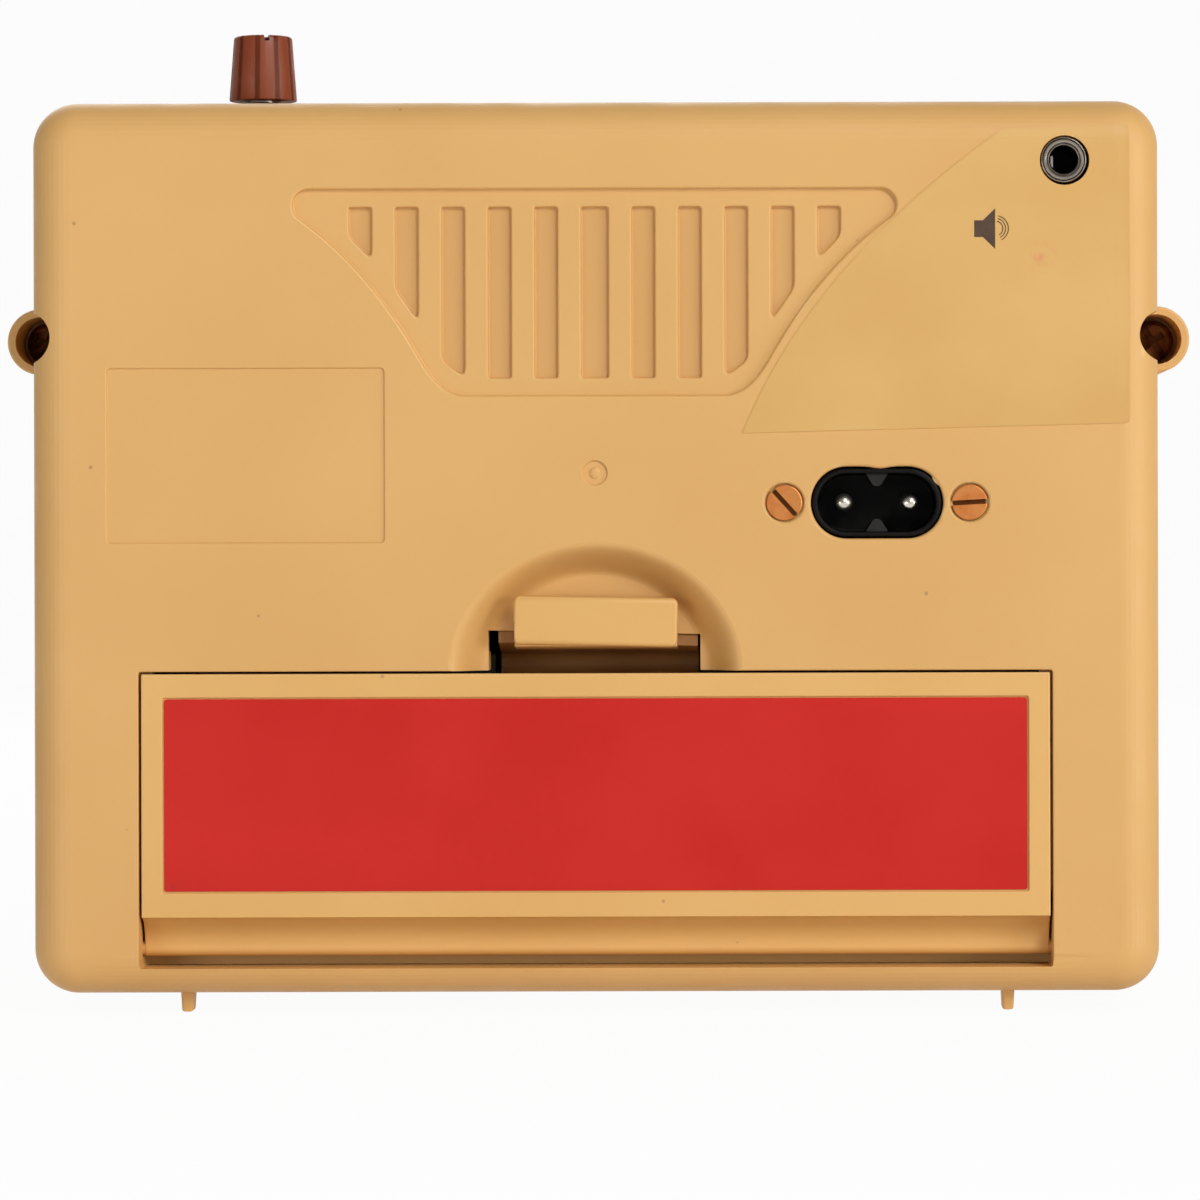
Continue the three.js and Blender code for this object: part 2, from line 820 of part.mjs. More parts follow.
function frontShell() {
  const edge = rearShellDepth + restGap;
  const outer = caseBody(caseDepth, edge, 0);
  const cavity = caseBody(caseDepth, edge - overrun, wall);
  const tongueFrom = rearShellDepth - tongueHeight;
  const tongue = cut(
    caseBand(wall - tongueWall, wall, tongueFrom, edge + tongueHeight),
    bossKeepOut(),
  );
  const bossRadius = bossDiameter / 2;
  const bosses = bossPlaces.map((across) => turned([
    [0, edge],
    [bossRadius, edge],
    [bossRadius, frontBossEnd - frontBossDome],
    [bossRadius - frontBossDome, frontBossEnd],
    [0, frontBossEnd],
  ], across, bossHeight));
  const faceInside = caseDepth - wall / 2;
  const speakerBosses = speakerScrewPlaces.map(([x, height]) => rod(
    x, height, speakerBossDiameter, speakerBackDepth, faceInside, smallRoundSides,
  ));
  const posts = mainPosts.map(([x, height]) => rod(
    x, height, postDiameter, boardFrontDepth, faceInside, smallRoundSides,
  ));
  const feet = footPlaces.map((across) => foot(across, caseDepth - frontFootInset));
  const whole = join(
    cut(outer, cavity), tongue, ...bosses, ...speakerBosses, ...posts, ...feet,
  );
  const outside = caseDepth + overrun;
  const panel = roundedRectangle(
    -panelWidth / 2, panelWidth / 2, panelBottom, panelTop, cornerRadius / 2,
  );
  const slotHalf = (sliderTravel + sliderWidth) / 2 + runningGap;
  const slotRise = sliderHeight / 2 + runningGap;
  const inside = caseDepth - wall - overrun;
  const screwEnd = wellFloorDepth + screwLength + overrun;
  const cutters = [
    speakerSlots(),
    slab(panel, caseDepth - panelRecess, outside),
    ...[pitchKnobAcross, fineKnobAcross].map((x) => rod(
      x, controlLevel, bushHoleDiameter, inside, outside,
    )),
    block(
      switchAcross - slotHalf, switchAcross + slotHalf, inside, outside,
      controlLevel - slotRise, controlLevel + slotRise,
    ),
    rod(ledAcross, controlLevel, lampDiameter + 2 * restGap, inside, outside, smallRoundSides),
    ...bossPlaces.map((x) => rod(
      x, bossHeight, screwShank + 2 * restGap, edge - overrun, screwEnd, smallRoundSides,
    )),
    ...speakerScrewPlaces.map(([x, height]) => rod(
      x, height, postHole, speakerBackDepth - overrun, caseDepth - speakerBossFloor,
      smallRoundSides,
    )),
    ...mainPosts.map(([x, height]) => rod(
      x, height, postHole, boardFrontDepth - overrun, boardFrontDepth + boardScrewLength,
      smallRoundSides,
    )),
  ];
  return cut(whole, ...cutters);
}

const doorHalf = openingWidth / 2 - doorGap;
const bendHeight = doorTop + bendInnerRadius;
const bendOuterRadius = bendInnerRadius + legThickness;
const splitAngle = restGap / 2 / (bendInnerRadius + legThickness / 2);

// The door: a flat panel whose foot turns in through a hollow quarter round to the hinge roll, so
// that it clears the case's sill as it swings. The lower leg of the snap latch is moulded on.
function batteryDoor() {
  const backRadius = hingeDepth + rollRadius;
  const backAngle = Math.acos(doorThickness / backRadius);
  const profile = new THREE.Shape();
  profile.moveTo(0, doorTop);
  profile.lineTo(0, hingeHeight + coveRadius);
  profile.absarc(0, hingeHeight, coveRadius, quarterTurn, 0, true);
  profile.absarc(hingeDepth, hingeHeight, rollRadius, 2 * quarterTurn, 4 * quarterTurn);
  profile.absarc(0, hingeHeight, backRadius, 0, backAngle);
  profile.lineTo(doorThickness, doorTop);
  const lowerLeg = new THREE.Shape();
  lowerLeg.moveTo(doorThickness / 2, doorTop - legThickness);
  lowerLeg.lineTo(bendDepth, doorTop - legThickness);
  lowerLeg.absarc(bendDepth, bendHeight, bendOuterRadius, -quarterTurn, -splitAngle);
  lowerLeg.absarc(bendDepth, bendHeight, bendInnerRadius, -splitAngle, -quarterTurn, true);
  lowerLeg.lineTo(doorThickness / 2, doorTop);
  const pins = sides.map((side) => {
    const ends = [side * (doorHalf - hingePinRoot), side * (doorHalf + hingePinReach)];
    return bar(hingeCircle(hingePinDiameter / 2), Math.min(...ends), Math.max(...ends));
  });
  const labelHalf = doorLabelWidth / 2 + doorLabelMargin;
  const recess = roundedRectangle(
    -labelHalf, labelHalf, doorLabelBottom - doorLabelMargin, doorLabelTop + doorLabelMargin,
    doorLabelMargin,
  );
  const panel = cut(
    bar(profile, -doorHalf, doorHalf),
    slab(recess, -overrun, doorLabelRecess),
  );
  return join(panel, bar(lowerLeg, -latchWidth / 2, latchWidth / 2), ...pins);
}

function doorLabel() {
  const shape = roundedRectangle(
    -doorLabelWidth / 2, doorLabelWidth / 2, doorLabelBottom, doorLabelTop, doorLabelMargin,
  );
  return slab(shape, doorLabelRecess - labelThickness, doorLabelRecess);
}

// The top of the latch's upper leg, which slopes down towards the bend.
function legTopAt(depth) {
  const tabBack = tabFaceDepth + tabThickness;
  const share = (depth - tabBack) / (bendDepth - tabBack);
  return THREE.MathUtils.lerp(legFrontHeight, bendHeight + bendOuterRadius, share);
}

// The latch: upper half of the U bend, spring leg, hook and thumb tab in one moulding.
function doorLatch() {
  const leg = new THREE.Shape();
  leg.absarc(bendDepth, bendHeight, bendOuterRadius, splitAngle, quarterTurn);
  leg.lineTo(legFrontDepth, legTopAt(legFrontDepth));
  leg.lineTo(legFrontDepth, legTopAt(legFrontDepth) - legThickness);
  leg.absarc(bendDepth, bendHeight, bendInnerRadius, quarterTurn, splitAngle, true);
  const tabBack = tabFaceDepth + tabThickness;
  const stalkFrom = tabBack - tabRounding;
  const stalkTo = legFrontDepth + legThickness;
  const stalk = new THREE.Shape();
  stalk.moveTo(stalkFrom, legTopAt(stalkFrom));
  stalk.lineTo(stalkTo, legTopAt(stalkTo));
  stalk.lineTo(stalkTo, legTopAt(stalkTo) - legThickness);
  stalk.lineTo(stalkFrom, legTopAt(stalkFrom) - legThickness);
  const hook = new THREE.Shape();
  const hookTop = latchOpeningTop + hookRise;
  hook.moveTo(hookDepth, legTopAt(hookDepth) - legThickness / 2);
  hook.lineTo(hookDepth, hookTop);
  hook.lineTo(hookDepth + hookFlat, hookTop);
  hook.lineTo(hookDepth + hookLength, legTopAt(hookDepth + hookLength) - legThickness / 2);
  const tabBottom = legFrontHeight - legThickness;
  const tabSide = roundedRectangle(tabFaceDepth, tabBack, tabBottom, tabTop, tabRounding);
  const tabFront = roundedRectangle(-tabWidth / 2, tabWidth / 2, tabBottom, tabTop, tabCorner);
  const tab = bar(tabSide, -tabWidth / 2, tabWidth / 2)
    .intersect(slab(tabFront, -overrun, tabBack + overrun));
  return join(
    bar(leg, -latchWidth / 2, latchWidth / 2),
    bar(stalk, -tabWidth / 2, tabWidth / 2),
    bar(hook, -hookWidth / 2, hookWidth / 2),
    tab,
  );
}

const trayFront = frameDepth + restGap;
const trayMiddle = (sillHeight + openingTop) / 2;
const cellRows = sides.map((side) => trayMiddle + side * cellPitch / 2);
const pocketRadius = cellDiameter / 2 + cellClearance;
const plateFace = trayInnerLength / 2 - restGap - contactThickness;

// The tray: two half-round troughs side by side, a rim that meets the frame, and two screw ears.
function batteryTray() {
  const rimX = openingWidth / 2 + frameWall;
  const bodyX = trayInnerLength / 2 + trayWall;
  const bodyTop = trayMiddle + cellPitch / 2 + pocketRadius + trayWall;
  const bodyBottom = trayMiddle - cellPitch / 2 - pocketRadius - trayWall;
  const back = cellDepth + pocketRadius + trayFloor;
  const rimTo = trayFront + earThickness;
  const rim = block(-rimX, rimX, trayFront, rimTo, wall + restGap, openingTop + frameWall);
  const body = block(-bodyX, bodyX, trayFront, back, bodyBottom, bodyTop);
  const ears = trayPosts.map(([across, height]) => {
    const ends = [across - Math.sign(across) * earWidth, across + Math.sign(across) * earWidth / 2];
    const [left, right] = [Math.min(...ends), Math.max(...ends)];
    return block(left, right, trayFront, rimTo, height - earHeight / 2, height + earHeight / 2);
  });
  const troughs = cellRows.map((row) => {
    const trough = new THREE.Shape();
    trough.moveTo(trayFront - overrun, row - pocketRadius);
    trough.lineTo(cellDepth, row - pocketRadius);
    trough.absarc(cellDepth, row, pocketRadius, -quarterTurn, quarterTurn);
    trough.lineTo(trayFront - overrun, row + pocketRadius);
    return bar(trough, -trayInnerLength / 2, trayInnerLength / 2);
  });
  const notchHalf = latchOpeningWidth / 2;
  const notchTo = bendDepth + bendOuterRadius + restGap;
  const notchFrom = trayFront - overrun;
  const notchBottom = doorTop - legThickness - restGap;
  const notch = block(-notchHalf, notchHalf, notchFrom, notchTo, notchBottom, caseHeight / 2);
  const plateRoom = block(
    -trayInnerLength / 2, restGap - plateFace, trayFront - overrun, contactTo + restGap,
    cellRows[0], cellRows[1],
  );
  const holes = trayPosts.map(([x, height]) => rod(
    x, height, postHole, trayFront - overrun, rimTo + overrun, smallRoundSides,
  ));
  return cut(join(rim, body, ...ears), ...troughs, plateRoom, notch, ...holes);
}

const contactFrom = cellDepth - contactDepth / 2;
const contactTo = cellDepth + contactDepth / 2;

// A contact plate at one end of the tray, between two heights.
function contactPlate(side, bottom, top) {
  const inner = side * plateFace;
  const outer = side * (plateFace + contactThickness);
  const [left, right] = [Math.min(inner, outer), Math.max(inner, outer)];
  return block(left, right, contactFrom, contactTo, bottom, top);
}

// The pressed bump that meets a cell's raised end.
function contactDimple(side, row) {
  const dimple = turnedUpright([
    [0, -contactThickness / 2],
    [contactBumpDiameter / 2, -contactThickness / 2],
    [contactBumpDiameter / 2, 0],
    [contactBumpDiameter / 4, contactBump],
    [0, contactBump],
  ], smallRoundSides);
  const turn = [0, -side * THREE.MathUtils.radToDeg(quarterTurn), 0];
  return dimple.rotate(turn).translate([side * plateFace, deep(cellDepth), up(row)]);
}

// A conical coil spring: one unbroken round wire from the contact plate towards the cell.
function springCurve(side, row) {
  const steps = springTurns * springSteps;
  const points = [];
  for (let i = 0; i <= steps; i += 1) {
    const share = i / steps;
    const angle = (i / springSteps) * 4 * quarterTurn;
    const radius = THREE.MathUtils.lerp(springRadius, springTipRadius, share);
    const along = plateFace - restGap - springWire / 2 - share * springLength;
    points.push({ share, angle, radius, across: side * along, row });
  }
  return points;
}

function springCentre({ angle, radius, across, row }) {
  const depth = cellDepth + radius * Math.cos(angle);
  return new THREE.Vector3(across, deep(depth), up(row + radius * Math.sin(angle)));
}

function contactSpring(side, row) {
  const curve = springCurve(side, row);
  const rings = curve.map((place) => {
    const centre = springCentre(place);
    const outward = new THREE.Vector3(0, Math.cos(place.angle), Math.sin(place.angle));
    const ring = [];
    for (let i = 0; i < springSides; i += 1) {
      const around = (i / springSides) * 4 * quarterTurn;
      const point = centre.clone().addScaledVector(outward, springWire / 2 * Math.cos(around));
      point.x += springWire / 2 * Math.sin(around);
      ring.push(point);
    }
    return ring;
  });
  return loft(rings);
}

// The least gap between two turns of a spring, measured between points of its wire.
function leastTurnGap() {
  const centres = springCurve(1, 0).map(springCentre);
  let least = Infinity;
  centres.forEach((centre, i) => {
    centres.slice(i + springSteps - 1).forEach((other) => {
      least = Math.min(least, centre.distanceTo(other) - springWire);
    });
  });
  return least;
}

// A mains socket of the two-pin figure-of-eight kind: flange, collar, body and the two ribs.
function mainsInlet() {
  const flangeFrom = wall + restGap;
  const flangeTo = flangeFrom + inletFlangeThickness;
  const flange = roundedRectangle(
    inletAcross - inletFlangeWidth / 2, inletAcross + inletFlangeWidth / 2,
    inletHeight - inletFlangeHeight / 2, inletHeight + inletFlangeHeight / 2, inletCornerRadius,
  );
  const collarWidth = inletOpeningWidth - 2 * inletCollarGap;
  const collarHeight = inletOpeningHeight - 2 * inletCollarGap;
  const cavityWidth = collarWidth - 2 * inletCollarWall;
  const cavityHeight = collarHeight - 2 * inletCollarWall;
  const bodyWidth = cavityWidth + 2 * inletBodyWall;
  const bodyHeight = cavityHeight + 2 * inletBodyWall;
  const solid = join(
    slab(flange, flangeFrom, flangeTo),
    slab(inletStadium(collarWidth, collarHeight), inletSetBack, inletBodyDepth),
    slab(inletStadium(bodyWidth, bodyHeight), flangeFrom, inletBodyDepth),
  );
  const hollow = cut(
    solid,
    slab(inletStadium(cavityWidth, cavityHeight), -overrun, inletCavityDepth),
    ...inletPins.map((x) => rod(
      x, inletHeight, pinDiameter + 2 * screwFit, 0, inletBodyDepth + overrun, smallRoundSides,
    )),
    ...inletScrewPlaces.map((x) => rod(
      x, inletHeight, inletScrewShank + 2 * screwFit, 0, flangeTo + overrun, smallRoundSides,
    )),
  );
  const ribs = sides.map((side) => {
    const root = inletHeight + side * (cavityHeight / 2 + inletCollarWall / 2);
    const tip = inletHeight + side * (cavityHeight / 2 - inletRibReach);
    const rib = new THREE.Shape();
    rib.moveTo(inletAcross - inletRibWidth / 2, root);
    rib.lineTo(inletAcross + inletRibWidth / 2, root);
    rib.lineTo(inletAcross + inletRibTip / 2, tip);
    rib.lineTo(inletAcross - inletRibTip / 2, tip);
    return slab(rib, inletSetBack, inletCavityDepth + wall / 2);
  });
  return join(hollow, ...ribs);
}

const inletPins = sides.map((side) => inletAcross + side * pinPitch / 2);

// A round contact pin with a bevelled tip and a thinner tail that reaches the power board.
function inletPin(across) {
  const [pinRadius, tailRadius] = [pinDiameter / 2, tailDiameter / 2];
  return turned([
    [0, pinTipDepth],
    [tailRadius, pinTipDepth],
    [pinRadius, pinTipDepth + tailRadius],
    [pinRadius, inletBodyDepth],
    [tailRadius, inletBodyDepth],
    [tailRadius, powerBoardDepth - restGap],
    [0, powerBoardDepth - restGap],
  ], across, inletHeight, smallRoundSides);
}

function inletScrew(across, slotAngle) {
  const screw = turned([
    [0, 0],
    [inletScrewHead / 2, 0],
    [inletScrewShank / 2, inletScrewHeadDepth],
    [inletScrewShank / 2, inletScrewLength],
    [0, inletScrewLength],
  ], across, inletHeight);
  const slot = new THREE.BoxGeometry(inletScrewHead + overrun, 2 * screwSlotDepth, screwSlotWidth);
  slot.rotateY(THREE.MathUtils.degToRad(slotAngle));
  slot.translate(across, deep(0), up(inletHeight));
  return cut(screw, solidOf(slot));
}

function hexagonNut(acrossFlats, thickness, hole) {
  const radius = acrossFlats / Math.sqrt(3);
  const nut = new THREE.CylinderGeometry(radius, radius, thickness, nutSides);
  const bore = new THREE.CylinderGeometry(hole / 2, hole / 2, thickness + overrun, roundSides);
  const upright = cut(solidOf(nut), solidOf(bore));
  return upright.translate([0, thickness / 2, 0]);
}

function inletNut(across) {
  const nut = hexagonNut(nutAcrossFlats, nutThickness, inletScrewShank + 2 * screwFit);
  const seat = wall + 2 * restGap + inletFlangeThickness;
  return nut.translate([across, deep(seat), up(inletHeight)]);
}

// The outer ring of the jack, with the turned groove seen round its mouth.
function jackBush() {
  const [bore, rim] = [jackBore / 2, jackBushDiameter / 2];
  const groove = (bore + rim) / 2 - jackGrooveWidth / 2;
  return turned([
    [bore, jackSetBack],
    [groove, jackSetBack],
    [groove, jackSetBack + jackGrooveDepth],
    [groove + jackGrooveWidth, jackSetBack + jackGrooveDepth],
    [groove + jackGrooveWidth, jackSetBack],
    [rim, jackSetBack],
    [rim, wall],
    [bore, wall],
    [bore, jackSetBack],
  ], jackAcross, jackHeight);
}

function jackBody() {
  const from = wall + restGap;
  const shape = roundedRectangle(
    jackAcross - jackBodyWidth / 2, jackAcross + jackBodyWidth / 2,
    jackHeight - jackBodyHeight / 2, jackHeight + jackBodyHeight / 2, jackCorner,
  );
  const bore = rod(jackAcross, jackHeight, jackBore, -overrun, from + jackBoreLength);
  return cut(slab(shape, from, from + jackBodyLength), bore);
}

function jackContact() {
  const outer = jackAcross - jackBore / 2 + restGap;
  const from = wall + 2 * restGap;
  return block(
    outer, outer + jackContactThickness, from, from + jackBoreLength / 2,
    jackHeight - jackContactWidth / 2, jackHeight + jackContactWidth / 2,
  );
}

// The printed sheet beside the grille, shown flat here.
function connectionLabel() {
  const sheet = new THREE.Shape();
  sheet.moveTo(sheetFootLeft, sheetBottomLeft);
  sheet.lineTo(sheetRight, sheetBottomRight);
  sheet.lineTo(sheetRight, sheetTop);
  sheet.lineTo(sheetTopLeft, sheetTop);
  sheet.quadraticCurveTo(sheetBowAcross, sheetBowHeight, sheetFootLeft, sheetBottomLeft);
  const hole = rod(jackAcross, jackHeight, jackHole, -overrun, overrun);
  return cut(slab(sheet, -sheetThickness, 0), hole);
}

// A pan-head screw with a cross recess. Its head points to the case's front if side is 1 and to
// the rear if it is -1, and lies on the face at the seat depth.
function panScrew([across, height], seat, side, head, shank) {
  const top = seat + side * head.height;
  const edge = seat + side * head.height / 2;
  const tip = seat - side * shank.length;
  const screw = turned([
    [0, tip],
    [shank.diameter / 2, tip],
    [shank.diameter / 2, seat],
    [head.diameter / 2, seat],
    [head.diameter / 2, edge],
    [head.diameter / 4, top],
    [0, top],
  ], across, height, smallRoundSides);
  const bottom = top - side * Math.min(crossDepth, head.height / 2);
  const beyond = top + side * overrun;
  const [from, to] = [Math.min(bottom, beyond), Math.max(bottom, beyond)];
  const [long, short] = [head.diameter / 4, crossWidth / 2];
  return cut(
    screw,
    block(across - long, across + long, from, to, height - short, height + short),
    block(across - short, across + short, from, to, height - long, height + long),
  );
}

const boardHead = { diameter: boardScrewHead, height: boardScrewHeadHeight };
const boardShank = { diameter: boardScrewShank, length: boardScrewLength };
const speakerHead = { diameter: speakerScrewHead, height: speakerScrewHeadHeight };
const speakerShank = { diameter: boardScrewShank, length: speakerScrewLength };
const sideHead = { diameter: screwHeadDiameter, height: screwHeadHeight };
const sideShank = { diameter: screwShank, length: screwLength };

function board(left, right, from, bottom, top, places) {
  const to = from + boardThickness;
  const holes = places.map(([x, height]) => rod(
    x, height, postHole, from - overrun, to + overrun, smallRoundSides,
  ));
  return cut(block(left, right, from, to, bottom, top), ...holes);
}

const powerSeatDepth = powerBoardDepth + boardThickness + restGap;

// A small transformer: a laminated core round the middle of a moulded winding.
function powerTransformer() {
  const to = powerSeatDepth + transformerDepth;
  const centred = (width, height, from, end) => block(
    transformerAcross - width / 2, transformerAcross + width / 2, from, end,
    transformerLevel - height / 2, transformerLevel + height / 2,
  );
  const coreFrom = (powerSeatDepth + to - coreDepth) / 2;
  return join(
    centred(windingWidth, windingHeight, powerSeatDepth, to),
    centred(transformerWidth, transformerHeight, coreFrom, coreFrom + coreDepth),
  );
}

function powerCapacitor() {
  const radius = capacitorDiameter / 2;
  const [from, to] = [powerSeatDepth, powerSeatDepth + capacitorLength];
  return turned([
    [0, from],
    [radius, from],
    [radius, from + capacitorCrimp],
    [radius - capacitorCrimp / 2, from + 1.5 * capacitorCrimp],
    [radius, from + 2 * capacitorCrimp],
    [radius, to - capacitorCrimp / 2],
    [radius - capacitorCrimp / 2, to],
    [0, to],
  ], capacitorAcross, capacitorLevel);
}

const speakerFrontDepth = speakerBackDepth + speakerFlange;

// The loudspeaker's steel basket: a flat rim, a cone with windows and a seat for the magnet.
function speakerBasket() {
  const seat = speakerBackDepth - basketDepth;
  const mouth = speakerDiameter / 2 - speakerLip;
  const whole = turned([
    [0, seat],
    [magnetDiameter / 2, seat],
    [mouth, speakerBackDepth],
    [speakerDiameter / 2, speakerBackDepth],
    [speakerDiameter / 2, speakerFrontDepth],
    [mouth - basketWall, speakerFrontDepth],
    [magnetDiameter / 2 - basketWall, seat + basketWall],
    [0, seat + basketWall],
  ], 0, speakerLevel);
  const windowFrom = seat + 2 * basketWall;
  const windows = [0, 1, 2, 3].map((quarter) => {
    const window = new THREE.BoxGeometry(mouth, basketWindowDepth, basketWindowWidth);
    window.translate(magnetDiameter / 2 + mouth / 2, basketWindowDepth / 2, 0);
    window.rotateY(quarter * quarterTurn);
    window.translate(0, deep(windowFrom), up(speakerLevel));
    return solidOf(window);
  });
  return cut(whole, ...windows);
}

function speakerCone() {
  const mouthDepth = speakerFrontDepth - restGap;
  const [mouth, throat] = [coneMouth / 2, coneThroat / 2];
  const throatDepth = mouthDepth - coneDepth;
  const coilEnd = speakerBackDepth - basketDepth + 2 * basketWall;
  return turned([
    [0, throatDepth + dustCapHeight],
    [throat / 2, throatDepth + dustCapHeight - coneThickness],
    [throat, throatDepth + coneThickness],
    [mouth - coneThickness, mouthDepth],
    [mouth, mouthDepth],
    [mouth, mouthDepth - coneThickness],
    [throat, throatDepth],
    [throat, coilEnd],
    [throat - coneThickness, coilEnd],
    [throat - coneThickness, throatDepth],
    [throat / 2, throatDepth + dustCapHeight - 2 * coneThickness],
    [0, throatDepth + dustCapHeight - coneThickness],
  ], 0, speakerLevel);
}

function speakerMagnet() {
  const to = speakerBackDepth - basketDepth - restGap;
  const from = to - magnetLength;
  const radius = magnetDiameter / 2;
  return turned([
    [0, from],
    [radius - overrun, from],
    [radius, from + overrun],
    [radius, to],
    [0, to],
  ], 0, speakerLevel);
}

// Controls are drawn standing on Z = 0, which is the inside of the wall less the resting gap.
function atTop(solid) {
  return solid.translate([volumeAcross, deep(volumeDepth), up(caseHeight - wall - restGap)]);
}

function atFront(solid, across) {
  const turn = -THREE.MathUtils.radToDeg(quarterTurn);
  return solid.rotate([turn, 0, 0]).translate([across, deep(controlSeatDepth), up(controlLevel)]);
}

const bushEnd = restGap + wall + bushProud;
const knobSeat = restGap + wall + knobStandOff;

// The body of a rotary control: can, threaded bush and a tag strip at its side.
function controlBody(diameter, tagSide) {
  const bore = shaftDiameter / 2 + shaftGap;
  const floor = -potLength + wall / 2;
  const radius = diameter / 2;
  const can = turnedUpright([
    [0, -potLength],
    [radius - potBevel, -potLength],
    [radius, potBevel - potLength],
    [radius, 0],
    [bushDiameter / 2, 0],
    [bushDiameter / 2, bushEnd],
    [0, bushEnd],
  ]);
  const tags = new THREE.BoxGeometry(terminalWidth, radius + terminalReach, terminalThickness);
  tags.translate(0, tagSide * (radius + terminalReach) / 2, -potLength + terminalThickness);
  const open = bushEnd + overrun;
  const room = turnedUpright([[0, floor], [bore, floor], [bore, open], [0, open]]);
  return cut(join(can, solidOf(tags)), room);
}

function controlNut(seat) {
  const nut = hexagonNut(controlNutAcross, controlNutThickness, bushDiameter + 2 * screwFit);
  return nut.rotate([THREE.MathUtils.radToDeg(quarterTurn), 0, 0]).translate([0, 0, seat]);
}

// A shaft, or the bore for one, with a flat side inside the knob.
function shaftShape(gap, from, to, flatFrom) {
  const radius = shaftDiameter / 2 + gap;
  const round = turnedUpright([[0, from], [radius, from], [radius, to], [0, to]]);
  const flat = new THREE.BoxGeometry(2 * radius + overrun, radius, to - flatFrom + overrun);
  const face = radius - shaftFlat;
  flat.translate(0, face + radius / 2, (flatFrom + to + overrun) / 2);
  return cut(round, solidOf(flat));
}

function controlShaft() {
  const from = wall / 2 + restGap - potLength;
  return shaftShape(0, from, knobSeat + knobBoreDepth - restGap, knobSeat);
}

// A tapered knob with narrow grooves round it and a bevelled top, marked by a notch in its top.
function flutedKnob(skirt, crown, height) {
  const count = knobFlutes * fluteSteps;
  const ring = (radius, level) => {
    const points = [];
    for (let i = 0; i < count; i += 1) {
      const angle = (i / count) * 4 * quarterTurn;
      const reach = i % fluteSteps === 0 ? radius - fluteDepth : radius;
      points.push(new THREE.Vector3(reach * Math.cos(angle), reach * Math.sin(angle), level));
    }
    return points;
  };
  const top = knobSeat + height;
  const body = loft([
    ring(skirt / 2, knobSeat),
    ring(crown / 2, top - knobBevel),
    ring(crown / 2 - knobBevel, top),
  ]);
  const notch = new THREE.BoxGeometry(fluteDepth * 2, crown / 2, knobBevel * 2);
  notch.translate(0, crown / 2, top);
  const bore = shaftShape(shaftGap, knobSeat - overrun, knobSeat + knobBoreDepth, knobSeat);
  return cut(body, bore, solidOf(notch));
}

const channelDepth = boardFrontDepth + switchBodyDepth / 2;

// A slide switch: its slot is undercut, so that the slider's foot can't fall out.
function switchBody() {
  const from = boardFrontDepth;
  const channelHalf = (sliderFootLength + sliderTravel) / 2 + runningGap;
  const footRise = sliderHeight / 2 + runningGap;
  const neckRise = sliderHeight / 4 + runningGap;
  const room = block(
    switchAcross - channelHalf, switchAcross + channelHalf, channelDepth - runningGap,
    channelDepth + sliderFootThickness + runningGap,
    controlLevel - footRise, controlLevel + footRise,
  );
  const mouth = block(
    switchAcross - channelHalf, switchAcross + channelHalf, channelDepth,
    from + switchBodyDepth + overrun, controlLevel - neckRise, controlLevel + neckRise,
  );
  const body = block(
    switchAcross - switchBodyLength / 2, switchAcross + switchBodyLength / 2, from,
    from + switchBodyDepth, controlLevel - switchBodyHeight / 2,
    controlLevel + switchBodyHeight / 2,
  );
  return cut(body, room, mouth);
}

function switchSlider() {
  const middle = switchAcross - sliderTravel / 2;
  const centred = (length, height, from, to) => block(
    middle - length / 2, middle + length / 2, from, to,
    controlLevel - height / 2, controlLevel + height / 2,
  );
  const footTo = channelDepth + sliderFootThickness;
  const neckTo = boardFrontDepth + switchBodyDepth + 2 * runningGap;
  const ridges = [-1, 0, 1].map((step) => block(
    middle + (step - sliderRidgeShare / 2) * sliderWidth / 3,
    middle + (step + sliderRidgeShare / 2) * sliderWidth / 3,
    caseDepth, caseDepth + sliderProud,
    controlLevel - sliderHeight / 2, controlLevel + sliderHeight / 2,
  ));
  return join(
    centred(sliderFootLength, sliderHeight, channelDepth, footTo),
    centred(sliderWidth, sliderHeight / 2, footTo, neckTo),
    centred(sliderWidth, sliderHeight, neckTo, caseDepth + sliderProud / 2),
    ...ridges,
  );
}

function powerLamp() {
  const radius = lampDiameter / 2;
  const tip = caseDepth + lampProud;
  const baseFrom = tip - 2 * lampDiameter;
  const lens = turned([
    [0, baseFrom],
    [radius + restGap, baseFrom],
    [radius + restGap, baseFrom + lampProud],
    [radius, baseFrom + lampProud],
    [radius, tip - radius],
    [radius * Math.SQRT1_2, tip - radius * (1 - Math.SQRT1_2)],
    [0, tip],
  ], ledAcross, controlLevel, smallRoundSides);
  const legs = sides.map((side) => {
    const [middle, half] = [ledAcross + side * radius / 2, restGap];
    return block(
      middle - half, middle + half, boardFrontDepth, baseFrom + overrun,
      controlLevel - half, controlLevel + half,
    );
  });
  return join(lens, ...legs);
}

